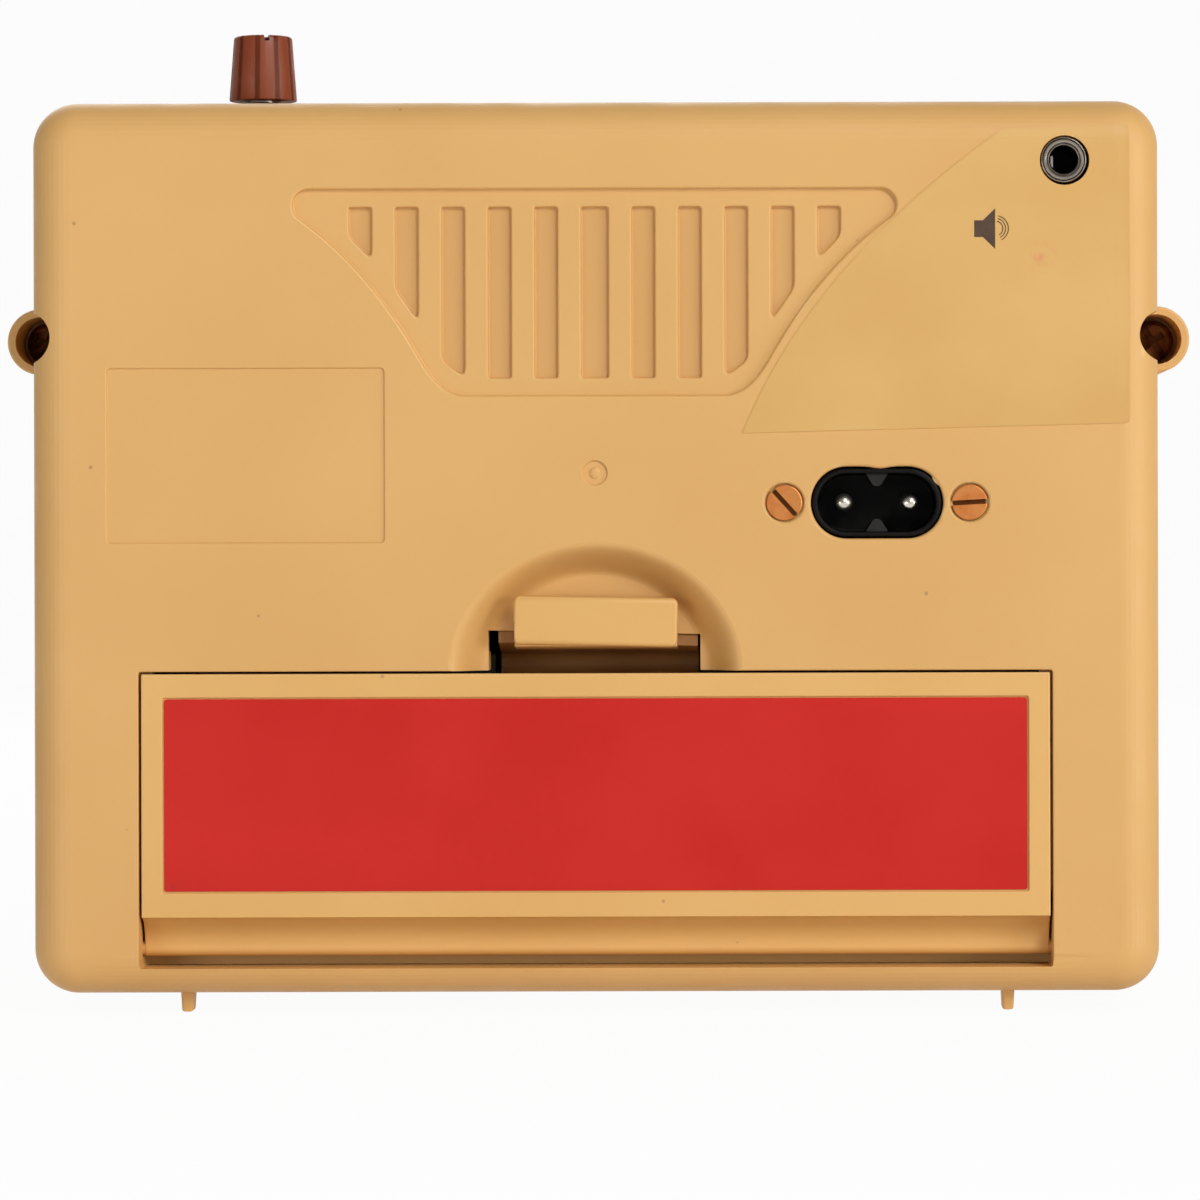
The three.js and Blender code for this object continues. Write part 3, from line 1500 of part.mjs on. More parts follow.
const materials = {
  caseAbs: { color: 0xdfaf6e, roughness: 0.55, metalness: 0 },
  doorAbs: { color: 0xe4b674, roughness: 0.5, metalness: 0 },
  redPrint: { color: 0xca3731, roughness: 0.6, metalness: 0 },
  tanSheet: { color: 0xe3b777, roughness: 0.55, metalness: 0 },
  trayAbs: { color: 0xd8a868, roughness: 0.6, metalness: 0 },
  springSteel: { color: 0xb9bbbd, roughness: 0.3, metalness: 1 },
  inletBlack: { color: 0x0f0b08, roughness: 0.35, metalness: 0 },
  nickel: { color: 0xc8c4bb, roughness: 0.25, metalness: 1 },
  brass: { color: 0xb98a4a, roughness: 0.4, metalness: 1 },
  boardLaminate: { color: 0x8a6a35, roughness: 0.6, metalness: 0 },
  ferrite: { color: 0x35322f, roughness: 0.7, metalness: 0 },
  capacitorSleeve: { color: 0x1f2c4a, roughness: 0.4, metalness: 0 },
  speakerPaper: { color: 0x26231f, roughness: 0.9, metalness: 0 },
  zincSteel: { color: 0xa9a9a5, roughness: 0.4, metalness: 1 },
  knobBrown: { color: 0x7e4025, roughness: 0.55, metalness: 0 },
  lampRed: { color: 0xb3201c, roughness: 0.25, metalness: 0 },
};

const shrutiBox = new THREE.Group();

// Adds a named piece to the model.
function addPiece(name, solid, finish) {
  const mesh = new THREE.Mesh(geometryOf(solid), new THREE.MeshStandardMaterial(materials[finish]));
  mesh.name = name;
  shrutiBox.add(mesh);
  return mesh;
}

addPiece('rear_shell', rearShell(), 'caseAbs');
addPiece('front_shell', frontShell(), 'caseAbs');
addPiece('battery_door', batteryDoor(), 'doorAbs');
addPiece('door_latch', doorLatch(), 'doorAbs');
addPiece('door_label', doorLabel(), 'redPrint');
addPiece('connection_label', connectionLabel(), 'tanSheet');
addPiece('battery_tray', batteryTray(), 'trayAbs');
const [lowerRow, upperRow] = cellRows;
const plateReach = contactHeight / 2;
addPiece('contact_spring_left', contactSpring(-1, lowerRow), 'springSteel');
addPiece('contact_spring_right', contactSpring(1, upperRow), 'springSteel');
addPiece(
  'contact_plate_left',
  join(
    contactPlate(-1, lowerRow - plateReach, upperRow + plateReach),
    contactDimple(-1, upperRow),
  ),
  'springSteel',
);
addPiece(
  'contact_plate_right_lower',
  join(
    contactPlate(1, lowerRow - plateReach, lowerRow + plateReach),
    contactDimple(1, lowerRow),
  ),
  'springSteel',
);
addPiece(
  'contact_plate_right_upper',
  contactPlate(1, upperRow - plateReach, upperRow + plateReach),
  'springSteel',
);
addPiece('mains_inlet', mainsInlet(), 'inletBlack');
['left', 'right'].forEach((end, i) => {
  addPiece(`inlet_pin_${end}`, inletPin(inletPins[i]), 'nickel');
  addPiece(`inlet_screw_${end}`, inletScrew(inletScrewPlaces[i], slotAngles[i]), 'brass');
  addPiece(`inlet_nut_${end}`, inletNut(inletScrewPlaces[i]), 'brass');
  addPiece(
    `side_screw_${end}`,
    panScrew([bossPlaces[i], bossHeight], wellFloorDepth, -1, sideHead, sideShank),
    'zincSteel',
  );
  addPiece(
    `tray_screw_${end}`,
    panScrew(trayPosts[i], trayFront + earThickness, 1, boardHead, boardShank),
    'zincSteel',
  );
});
addPiece('aux_jack_bush', jackBush(), 'nickel');
addPiece('aux_jack_body', jackBody(), 'inletBlack');
addPiece('aux_jack_contact', jackContact(), 'springSteel');
addPiece(
  'power_board',
  board(
    powerBoardLeft, powerBoardRight, powerBoardDepth, powerBoardBottom, powerBoardTop, powerPosts,
  ),
  'boardLaminate',
);
powerPosts.forEach((place, i) => {
  const seat = powerBoardDepth + boardThickness;
  const screw = panScrew(place, seat, 1, boardHead, boardShank);
  addPiece(`power_board_screw_${i + 1}`, screw, 'zincSteel');
});
addPiece('power_transformer', powerTransformer(), 'ferrite');
addPiece('power_capacitor', powerCapacitor(), 'capacitorSleeve');
addPiece('speaker_basket', speakerBasket(), 'zincSteel');
addPiece('speaker_cone', speakerCone(), 'speakerPaper');
addPiece('speaker_magnet', speakerMagnet(), 'ferrite');
speakerScrewPlaces.forEach((place, i) => {
  const screw = panScrew(place, speakerBackDepth, -1, speakerHead, speakerShank);
  addPiece(`speaker_screw_${i + 1}`, screw, 'zincSteel');
});
const mainBoardX = mainBoardWidth / 2;
addPiece(
  'main_board',
  board(-mainBoardX, mainBoardX, mainBoardDepth, mainBoardBottom, mainBoardTop, mainPosts),
  'boardLaminate',
);
mainPosts.forEach((place, i) => {
  const screw = panScrew(place, mainBoardDepth, -1, boardHead, boardShank);
  addPiece(`main_board_screw_${i + 1}`, screw, 'zincSteel');
});
const topNutSeat = restGap + wall;
const frontNutSeat = topNutSeat - panelRecess;
addPiece('volume_pot', atTop(controlBody(potDiameter, 1)), 'zincSteel');
addPiece('volume_nut', atTop(controlNut(topNutSeat)), 'nickel');
addPiece('volume_shaft', atTop(controlShaft()), 'nickel');
addPiece('volume_knob', atTop(flutedKnob(knobSkirt, knobTopDiameter, knobHeight)), 'knobBrown');
[['pitch', pitchKnobAcross, switchDiameter], ['fine_tune', fineKnobAcross, potDiameter]]
  .forEach(([name, across, diameter]) => {
    const knob = flutedKnob(frontKnobSkirt, frontKnobTop, frontKnobHeight);
    addPiece(`${name}_pot`, atFront(controlBody(diameter, 1), across), 'zincSteel');
    addPiece(`${name}_nut`, atFront(controlNut(frontNutSeat), across), 'nickel');
    addPiece(`${name}_shaft`, atFront(controlShaft(), across), 'nickel');
    addPiece(`${name}_knob`, atFront(knob, across), 'knobBrown');
  });
addPiece('power_switch_body', switchBody(), 'inletBlack');
addPiece('power_switch_slider', switchSlider(), 'inletBlack');
addPiece('power_led', powerLamp(), 'lampRed');
console.log(`least gap between two turns of a contact spring: ${leastTurnGap().toFixed(2)} mm`);

export default shrutiBox;
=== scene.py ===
import math

import bmesh
import bpy
from mathutils import Matrix, Vector


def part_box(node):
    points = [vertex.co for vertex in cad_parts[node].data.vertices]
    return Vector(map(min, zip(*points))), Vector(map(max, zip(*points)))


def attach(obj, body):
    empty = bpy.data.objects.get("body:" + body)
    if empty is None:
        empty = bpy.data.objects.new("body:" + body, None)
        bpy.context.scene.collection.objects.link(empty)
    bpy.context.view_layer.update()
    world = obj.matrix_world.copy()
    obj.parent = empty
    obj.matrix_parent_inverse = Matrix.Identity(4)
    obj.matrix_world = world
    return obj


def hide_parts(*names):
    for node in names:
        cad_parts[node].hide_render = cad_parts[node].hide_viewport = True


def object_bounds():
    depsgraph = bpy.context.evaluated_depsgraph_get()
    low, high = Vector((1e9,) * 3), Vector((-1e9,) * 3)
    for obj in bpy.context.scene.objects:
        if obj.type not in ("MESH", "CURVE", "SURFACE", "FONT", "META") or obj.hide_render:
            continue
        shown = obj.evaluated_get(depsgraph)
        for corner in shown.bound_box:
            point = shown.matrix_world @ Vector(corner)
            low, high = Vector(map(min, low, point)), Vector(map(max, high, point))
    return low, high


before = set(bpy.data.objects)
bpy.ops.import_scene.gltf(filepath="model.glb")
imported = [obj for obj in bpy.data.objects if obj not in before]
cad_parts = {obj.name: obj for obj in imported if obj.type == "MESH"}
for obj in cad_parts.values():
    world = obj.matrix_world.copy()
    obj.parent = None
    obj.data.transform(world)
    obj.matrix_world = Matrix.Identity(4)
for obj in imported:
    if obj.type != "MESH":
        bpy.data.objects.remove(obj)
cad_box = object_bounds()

# The camera stands about 70 cm behind the instrument, level with the middle of the case and a
# little to the right of it, with a long lens. The lens shift puts the case where the photograph
# has it without turning its sides.
scene = bpy.context.scene
camera_data = bpy.data.cameras.new("rear_camera")
camera_data.sensor_width = 36
camera_data.lens = 162.8
camera_data.shift_x = -0.138
camera_data.shift_y = -0.0417
camera_data.clip_start = 0.05
camera_data.clip_end = 20
camera = bpy.data.objects.new("rear_camera", camera_data)
camera.location = (0.022, cad_box[0][1] - 0.7, 0.0599)
camera.rotation_euler = (math.radians(90), math.radians(0.15), 0)
scene.collection.objects.link(camera)
scene.camera = camera


def srgb(hex_colour):
    """A colour written as a hex number of the screen's values, in linear values."""
    channels = [(hex_colour >> shift & 255) / 255 for shift in (16, 8, 0)]
    return [c / 12.92 if c <= 0.04045 else ((c + 0.055) / 1.055) ** 2.4 for c in channels] + [1.0]


def add(owner, kind, inputs=None, **settings):
    """Adds a node to a material or a tree, sets its properties, and fills or joins its inputs. In
    a material the kind of a shader node is named without its first word, ShaderNode."""
    tree = owner
    if isinstance(owner, bpy.types.Material):
        tree = owner.node_tree
        kind = "ShaderNode" + kind
    node = tree.nodes.new(kind)
    for key, value in settings.items():
        setattr(node, key, value)
    for key, value in (inputs or {}).items():
        if isinstance(value, bpy.types.NodeSocket):
            tree.links.new(value, node.inputs[key])
        else:
            node.inputs[key].default_value = value
    return node


def new_material(name):
    material = bpy.data.materials.new(name)
    material.use_nodes = True
    material.node_tree.nodes.clear()
    return material


# A white studio table runs up behind the instrument. The camera sees both as plain white, and
# the table still shows a faint shadow under the feet.
def studio_white(name, shade):
    material = new_material(name)
    path = add(material, "LightPath")
    seen = add(material, "Math", {
        0: path.outputs["Is Camera Ray"], 1: path.outputs["Is Glossy Ray"]}, operation="MAXIMUM")
    seen_through = add(material, "Math", {
        0: seen.outputs[0], 1: path.outputs["Is Transmission Ray"]}, operation="MAXIMUM")
    matte = add(material, "BsdfDiffuse", {"Color": srgb(0xF6F6F6)})
    glow = add(material, "Emission", {"Color": srgb(0xFFFFFF), "Strength": 1.0})
    part = add(material, "Math", {
        0: seen_through.outputs[0], 1: shade}, operation="MULTIPLY")
    mix = add(material, "MixShader", {
        0: part.outputs[0], 1: matte.outputs[0], 2: glow.outputs[0]})
    add(material, "OutputMaterial", {"Surface": mix.outputs[0]})
    return material


SWEEP_START, SWEEP_RADIUS, TABLE_FRONT, TABLE_HALF, WALL_TOP = 1.6, 0.5, -2.5, 3.0, 3.0
sweep_rows = [(TABLE_FRONT, 0.0)]
for step in range(13):
    turn = math.radians(90) * step / 12
    sweep_rows.append((SWEEP_START + SWEEP_RADIUS * math.sin(turn),
                       SWEEP_RADIUS - SWEEP_RADIUS * math.cos(turn)))
sweep_rows.append((SWEEP_START + SWEEP_RADIUS, WALL_TOP))
sweep = bmesh.new()
sweep_verts = [[sweep.verts.new((x, y, z)) for x in (-TABLE_HALF, TABLE_HALF)]
               for y, z in sweep_rows]
for low, high in zip(sweep_verts, sweep_verts[1:]):
    sweep.faces.new((low[0], low[1], high[1], high[0]))
sweep_mesh = bpy.data.meshes.new("studio_table")
sweep.to_mesh(sweep_mesh)
sweep.free()
studio_table = bpy.data.objects.new("studio_table", sweep_mesh)
studio_table.data.materials.append(studio_white("white_paper", 0.955))
scene.collection.objects.link(studio_table)


# A big soft lamp stands above and to the right of the camera, a low one further right, and a weak
# one near the table on the left. Between them they light the walls of the recesses and the
# rounded edges. The last lights the front, and the room adds an even light.
def soft_lamp(name, where, aim, size, power):
    lamp = bpy.data.lights.new(name, "AREA")
    lamp.shape = "RECTANGLE"
    lamp.size, lamp.size_y = size
    lamp.energy = power
    holder = bpy.data.objects.new(name, lamp)
    holder.location = where
    holder.rotation_euler = (Vector(aim) - Vector(where)).to_track_quat("-Z", "Y").to_euler()
    scene.collection.objects.link(holder)


middle = (0, 0, 0.06)
soft_lamp("key_lamp", (0.55, -1.1, 0.7), middle, (0.4, 0.4), 8.8)
soft_lamp("fill_lamp", (1.0, -0.6, 0.1), middle, (0.5, 0.3), 3.9)
soft_lamp("low_lamp", (-0.42, -0.55, 0.03), (-0.05, 0, 0.02), (0.3, 0.08), 0.62)
soft_lamp("front_lamp", (-0.3, 1.0, 0.8), middle, (0.8, 0.8), 4.6)
room = bpy.data.worlds.new("studio_room")
room.use_nodes = True
scene.world = room
room.node_tree.nodes["Background"].inputs["Color"].default_value = srgb(0xFFFFFF)
room.node_tree.nodes["Background"].inputs["Strength"].default_value = 0.25
scene.view_settings.view_transform = "Standard"


# The rear shell is one moulding in tan ABS. Its rear face carries the sound slots, the finger
# scoop and the battery opening, and its sides the screw bosses, all with softly rounded edges
# and the fine satin grain of a spark-eroded mould.
REAR = 1000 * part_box("rear_shell")[0][1]
SOLE = 2.6


def place(across, depth, height):
    """A point in metres from millimetres sideways, in from the rear face, and above the case."""
    return Vector((across / 1000, (REAR + depth) / 1000, (SOLE + height) / 1000))


TO_ORIGIN = Matrix.Translation(-place(0, 0, 0))


def to_object(name, build):
    """Makes a mesh object from a bmesh and frees it."""
    mesh = bpy.data.meshes.new(name)
    build.to_mesh(mesh)
    build.free()
    made = bpy.data.objects.new(name, mesh)
    scene.collection.objects.link(made)
    return made


def body_of_rings(name, rings, hollow=False):
    """Joins rings of points, each a list of (across, depth, height), into one closed body. Faces
    close its ends, or the last ring of a hollow one meets the first."""
    build = bmesh.new()
    loops = [[build.verts.new(place(*point)) for point in ring] for ring in rings]
    count = len(loops[0])
    for near, far in zip(loops, loops[1:] + loops[:1] if hollow else loops[1:]):
        for i in range(count):
            j = (i + 1) % count
            build.faces.new((near[i], near[j], far[j], far[i]))
    if not hollow:
        build.faces.new(loops[0])
        build.faces.new(loops[-1])
    bmesh.ops.recalc_face_normals(build, faces=build.faces)
    return to_object(name, build)


def layers(name, outline, stations):
    """A body whose outline(grow), a list of (across, height), lies at each (grow, depth)."""
    return body_of_rings(name, [
        [(x, depth, z) for x, z in outline(grow)] for grow, depth in stations])


def straight(name, outline, near, far):
    """A body with one outline of (across, height), from a near depth to a far one."""
    return layers(name, lambda grow: outline, ((0, near), (0, far)))


def box_tool(name, left, right, near, far, bottom, top):
    """A sharp-edged block, to cut with or to join on."""
    return straight(name, ((left, bottom), (right, bottom), (right, top), (left, top)), near, far)


def circle_outline(across, height, radius, steps=64):
    """The points (across, height) of a circle."""
    return [(across + radius * math.cos(math.tau * i / steps),
             height + radius * math.sin(math.tau * i / steps)) for i in range(steps)]


def round_tool(name, across, height, profile, steps=64, hollow=False):
    """A body turned round a line through the case: profile is a list of (radius, depth)."""
    return body_of_rings(name, [
        [(x, depth, z) for x, z in circle_outline(across, height, radius, steps)]
        for radius, depth in profile], hollow)


def rounded_box(left, right, bottom, top, radius, steps=8):
    """The points (across, height) of a box with rounded corners."""
    points = []
    for corner, (cx, cz) in enumerate((
            (right - radius, top - radius), (left + radius, top - radius),
            (left + radius, bottom + radius), (right - radius, bottom + radius))):
        for step in range(steps + 1):
            turn = math.radians(90) * (corner + step / steps)
            points.append((cx + radius * math.cos(turn), cz + radius * math.sin(turn)))
    return points


def box_edge(left, right, bottom, top, corner, steps, corner_grows=True):
    """A rounded box as a function that gives its outline when it has grown all round."""
    return lambda grow: rounded_box(
        left - grow, right + grow, bottom - grow, top + grow,
        corner + grow if corner_grows else corner, steps)


def box_round(across, height, half_width, half_height, corner, steps, corner_grows=True):
    """The same for a box that is given by its middle and its half sizes."""
    return box_edge(across - half_width, across + half_width, height - half_height,
                    height + half_height, corner, steps, corner_grows)


def circle_edge(across, height, radius, steps=64):
    """A circle as such a function."""
    return lambda grow: circle_outline(across, height, radius + grow, steps)


def pocket(name, outline, mouth, floor, rim, base=0.0):
    """A cutter for a pocket: outline(grow) gives its edge, which flares at the mouth by the rim
    radius and may round into its floor by the base radius."""
    quarter = [math.radians(90) * step / 4 for step in range(5)]
    rings = [(0.0, floor)]
    if base:
        rings = [(-base * (1 - math.sin(turn)), floor - base * (1 - math.cos(turn)))
                 for turn in quarter]
    rings += [(rim * (1 - math.cos(turn)), mouth + rim * (1 - math.sin(turn))) for turn in quarter]
    return layers(name, outline, rings + [(rim, mouth - 1.0)])


def discard(piece):
    """Deletes an object and its mesh."""
    old = piece.data
    bpy.data.objects.remove(piece)
    bpy.data.meshes.remove(old)


def make_plain(piece):
    """Gives a piece the plain mesh that its modifiers make, and removes them."""
    evaluated = piece.evaluated_get(bpy.context.evaluated_depsgraph_get())
    mesh = bpy.data.meshes.new_from_object(evaluated)
    piece.modifiers.clear()
    old = piece.data
    piece.data = mesh
    bpy.data.meshes.remove(old)


def carve(target, tools, operation="DIFFERENCE"):
    """Cuts the tools from the target, or joins them to it, and removes them."""
    for tool in tools:
        step = target.modifiers.new("carve", "BOOLEAN")
        step.operation = operation
        step.solver = "MANIFOLD"
        step.object = tool
        make_plain(target)
        discard(tool)
    return target


def keep_common(target, tool):
    """Keeps only what the target and the tool share."""
    return carve(target, [tool], "INTERSECT")


def stand(piece, where, degrees=0, axis="Y", start=Matrix()):
    """Turns a piece that lies round the origin, or that start moves there, and puts it in its
    place (across, depth, height)."""
    piece.data.transform(Matrix.Translation(place(*where))
                         @ Matrix.Rotation(math.radians(degrees), 4, axis) @ start)
    return piece


CASE_WIDTH, CASE_HEIGHT, CASE_DEPTH = 146.0, 115.5, 60.0
CORNER, EDGE, WALL, SEAM = 5.8, 5.2, 2.4, 32.0


def case_edge(inset):
    """The case's outline from behind, at a distance inside its sides."""
    half = CASE_WIDTH / 2
    return rounded_box(
        inset - half, half - inset, inset, CASE_HEIGHT - inset, CORNER - inset, 14)


def case_rings(face, far, inset, edge_break=0.0):
    """The case's skin from its rounded face to a plane, at a distance inside the outside skin."""
    inwards = 1 if far > face else -1
    rounding = EDGE - inset
    rings = []
    for step in range(13):
        turn = math.radians(90) * step / 12
        edge = inset + rounding * (1 - math.sin(turn))
        sink = inset + rounding * (1 - math.cos(turn))
        rings.append([(x, face + inwards * sink, z) for x, z in case_edge(edge)])
    for grow, back in ((0.0, edge_break), (edge_break, 0.0)) if edge_break else ((0.0, 0.0),):
        rings.append([(x, far - inwards * back, z) for x, z in case_edge(inset + grow)])
    return rings


def inside_case(tool):
    """Trims a tool to the skin of the rear half of the case."""
    return keep_common(tool, body_of_rings("skin", case_rings(0, SEAM, 0)))


SOUND_TOP, SOUND_FOOT, SOUND_HALF, TIP = 104.0, 77.3, 39.0, 2.1
TIP_TURN, FLARE_SLOPE, SIDE_SLOPE = 234, -0.72, -1.8
SIDE_X, SIDE_RISE, FOOT_X = -22.6, 4.8, -16.8


def crossing(a, slope_a, b, slope_b):
    """Where two lines cross, each given by a point and its slope."""
    x = (b[1] - a[1] + slope_a * a[0] - slope_b * b[0]) / (slope_a - slope_b)
    return (x, a[1] + slope_a * (x - a[0]))


def bend(start, middle_point, end, steps):
    """Points on a curve that leaves the start towards the middle point and ends at the end."""
    points = []
    for step in range(1, steps + 1):
        t = step / steps
        points.append(tuple(
            (1 - t) ** 2 * a + 2 * t * (1 - t) * b + t * t * c
            for a, b, c in zip(start, middle_point, end)))
    return points


def sound_outline(inset):
    """The fan round the sound slots: rounded tips, flaring sides and a rounded foot."""
    tip_x, tip_z = TIP - SOUND_HALF, SOUND_TOP - TIP
    start_turn = math.radians(TIP_TURN)
    edge = (tip_x + TIP * math.cos(start_turn), tip_z + TIP * math.sin(start_turn))

    def set_in(point, slope):
        run = math.hypot(1, slope)
        return (point[0] - inset * slope / run, point[1] + inset / run)

    start = set_in(edge, FLARE_SLOPE)
    end = set_in((SIDE_X, SOUND_FOOT + SIDE_RISE), SIDE_SLOPE)
    foot = SOUND_FOOT + inset
    if inset < TIP - 0.3:
        half = []
        for step in range(13):
            turn = math.radians(90) + (start_turn - math.radians(90)) * step / 12
            half.append((tip_x + (TIP - inset) * math.cos(turn),
                         tip_z + (TIP - inset) * math.sin(turn)))
    else:
        half = [crossing(start, FLARE_SLOPE, (0, SOUND_TOP - inset), 0), start]
    half += bend(half[-1], crossing(start, FLARE_SLOPE, end, SIDE_SLOPE), end, 16)
    half += bend(end, crossing(end, SIDE_SLOPE, (0, foot), 0), (FOOT_X, foot), 8)
    return half + [(-x, z) for x, z in reversed(half)]


SCOOP_WIDTH, SCOOP_TOP, SCOOP_FLOOR_WIDTH, SCOOP_FLOOR_TOP = 38.2, 58.4, 27.9, 54.1
SCOOP_FOOT, SCOOP_SINK = 41.4, 5.0


def scoop_rings(grow, shift, mouth, skirt):
    """Half-ellipse sections that sink from the rear face to the floor of the finger scoop."""
    rings = []
    for step in range(-1, 17):
        share = max(step, 0) / 16
        eased = share * share * (3 - 2 * share)
        depth = mouth if step < 0 else shift + SCOOP_SINK * eased
        half = (SCOOP_WIDTH + (SCOOP_FLOOR_WIDTH - SCOOP_WIDTH) * share) / 2 + grow
        rise = SCOOP_TOP + (SCOOP_FLOOR_TOP - SCOOP_TOP) * share - SCOOP_FOOT + grow
        ring = [(half, depth, skirt)]
        for i in range(41):
            turn = math.pi * i / 40
            ring.append((half * math.cos(turn), depth, SCOOP_FOOT + rise * math.sin(turn)))
        ring.append((-half, depth, skirt))
        rings.append(ring)
    return rings


OPEN_HALF, SILL, OPEN_TOP, FRAME_DEPTH, FRAME_WALL = 59.0, 3.4, 41.75, 11.2, 2.4
BOSS_X, BOSS_Z, BOSS_RADIUS, WELL_RADIUS, WELL_FLOOR = 73.7, 85.0, 4.35, 3.3, 26.5
INLET_X, INLET_Z, INLET_SCREW, INLET_PIN = 36.4, 63.4, 11.95, 4.3
HOLE_HALF_WIDTH, HOLE_HALF_HEIGHT = 8.55, 4.65
JACK_X, JACK_Z, JACK_HOLE = 60.7, 107.5, 3.2
VOLUME_X, VOLUME_DEPTH, BUSH_HOLE = -45.1, 26.5, 3.3
EAR_X, EAR_Z, GATE_Z, POST, BOARD_POST_END = 65.6, 30.0, 67.3, 3.0, 21.7
BOARD_POSTS = ((19.0, 76.0), (58.0, 53.0))
POST_ROOT = WALL / 2
HINGE_DEPTH, HINGE_Z, HINGE_PIN_END = 5.31, 5.8, 60.9
SLOT_LEFT, SLOT_RIGHT, SLOT_LEFT_TOP, SLOT_RIGHT_TOP, LIP_FOOT = -14.03, 13.5, 46.95, 46.42, 40.4
HOLE_STRAIGHT, DIP, DIP_AT, DIP_REACH = HOLE_HALF_WIDTH - HOLE_HALF_HEIGHT, 0.27, 0.4, 1.3


def inlet_hole_outline(grow):
    """The hole for the mains inlet, filed by hand so that its top edge dips near the middle."""
    points = box_round(INLET_X, INLET_Z, HOLE_HALF_WIDTH, HOLE_HALF_HEIGHT, HOLE_HALF_HEIGHT,
                       16)(grow)
    top_edge = []
    for step in range(1, 20):
        across = HOLE_STRAIGHT - 2 * HOLE_STRAIGHT * step / 20
        dip = DIP * math.exp(-((across - DIP_AT) / DIP_REACH) ** 2)
        top_edge.append((INLET_X + across, INLET_Z + HOLE_HALF_HEIGHT + grow - dip))
    return points[:17] + top_edge + points[17:]


rear = body_of_rings("tan_rear_shell", case_rings(0, SEAM, 0, 0.25))
carve(rear, [body_of_rings("hollow", case_rings(0, SEAM + 1, WALL))])
# A frame stands round the battery opening, a wall behind the scoop, and a boss on each side.
additions = [
    inside_case(box_tool("frame_wall", -OPEN_HALF - FRAME_WALL, OPEN_HALF + FRAME_WALL, POST_ROOT,
                         FRAME_DEPTH, WALL / 2, OPEN_TOP + FRAME_WALL)),
    body_of_rings("scoop_back", scoop_rings(2.0, 2.0, POST_ROOT, OPEN_TOP))]
for side in (-1, 1):
    additions.append(inside_case(round_tool("boss_stub", side * BOSS_X, BOSS_Z, [
        (BOSS_RADIUS, 0), (BOSS_RADIUS, 20)])))
    additions.append(round_tool("boss", side * BOSS_X, BOSS_Z, [
        (BOSS_RADIUS - 0.3, 16.5), (BOSS_RADIUS - 0.09, 16.59), (BOSS_RADIUS, 16.8),
        (BOSS_RADIUS, SEAM - 0.2), (BOSS_RADIUS - 0.2, SEAM)]))
carve(rear, additions, "UNION")


def prism(name, inset, near, far):
    """A slice through the whole case, at a distance inside its sides."""
    return straight(name, case_edge(inset), near, far)


def boss_room():
    """What the two bosses take out of the tongue at the seam."""
    return [round_tool("boss_room", side * BOSS_X, BOSS_Z, [
        (BOSS_RADIUS + 0.3, SEAM - 4), (BOSS_RADIUS + 0.3, SEAM + 4)]) for side in (-1, 1)]


carve(rear, [pocket("battery_opening", box_edge(-OPEN_HALF, OPEN_HALF, SILL, OPEN_TOP, 0.35, 4),
                    0, FRAME_DEPTH + 1, 0.22)])
# Ledges, posts and ribs are joined on once the opening is cut, because they reach into it.
posts = [box_tool("dust_rib", -OPEN_HALF - 0.5, OPEN_HALF + 0.5, 9.0, FRAME_DEPTH, SILL - 0.5,
                  SILL + 1.35)]
for side in (-1, 1):
    inner, outer = sorted((side * (OPEN_HALF - 1.6), side * (OPEN_HALF + 1.2)))
    posts.append(box_tool("door_ledge", inner, outer, 2.5, 4.5, 13.0, OPEN_TOP + 0.5))
    posts.append(round_tool("tray_post", side * EAR_X, EAR_Z, [
        (3.2, POST_ROOT), (3.2, FRAME_DEPTH)], 32))
    near, far = sorted((JACK_X + side * 4.6, JACK_X + side * 6.1))
    posts.append(inside_case(box_tool("jack_rib", near, far, POST_ROOT, WALL + 12, JACK_Z - 3.6,
                                      CASE_HEIGHT - 1)))
for across, height in BOARD_POSTS:
    posts.append(round_tool("board_post", across, height, [
        (POST, POST_ROOT), (POST, BOARD_POST_END)], 32))
carve(rear, posts, "UNION")

# Then come the recesses and holes, and the room for the front shell's tongue.
tools = [
    body_of_rings("finger_scoop", scoop_rings(0, 0, -1, LIP_FOOT)),
    straight("latch_slot", ((SLOT_LEFT, LIP_FOOT), (SLOT_RIGHT, LIP_FOOT),
                            (SLOT_RIGHT, SLOT_RIGHT_TOP), (SLOT_LEFT, SLOT_LEFT_TOP)),
             -1, FRAME_DEPTH + 1),
    pocket("sound_panel", lambda grow: sound_outline(-grow), 0, 0.8, 0.32, 0.2),
    pocket("label_field", box_edge(-63, -27.2, 58.4, 80.9, 0.5, 4), 0, 0.3, 0.2, 0.1),
    pocket("gate_mark", circle_edge(0, GATE_Z, 1.6, 32), 0, 0.35, 0.12, 0.1),
    pocket("inlet_hole", inlet_hole_outline, 0, WALL + 1, 0.4),
    pocket("jack_hole", circle_edge(JACK_X, JACK_Z, JACK_HOLE), 0, WALL + 1, 0.15)]
for side in (-1, 1):
    tools.append(round_tool("countersink", INLET_X + side * INLET_SCREW, INLET_Z, [
        (2.8, -1), (2.8, 0), (2.66, 0.05), (2.56, 0.15), (2.52, 0.35), (1.35, 1.5),
        (1.35, WALL + 1)]))
    tools.append(round_tool("screw_well", side * BOSS_X, BOSS_Z, [
        (WELL_RADIUS, -1), (WELL_RADIUS, WELL_FLOOR), (1.8, WELL_FLOOR), (1.8, SEAM + 1)]))
    tools.append(round_tool("tray_screw_hole", side * EAR_X, EAR_Z, [(1.5, 4.2), (1.5, 12)], 24))
    tools.append(stand(round_tool("hinge_socket", 0, 0, [(1.25, 0), (1.25, 4)], 32),
                       (side * HINGE_PIN_END, HINGE_DEPTH, HINGE_Z), 90, "Z",
                       Matrix.Translation(-place(0, 2, 0))))
for across, height in BOARD_POSTS:
    tools.append(round_tool("board_screw_hole", across, height, [(1.5, 15), (1.5, 22.5)], 24))
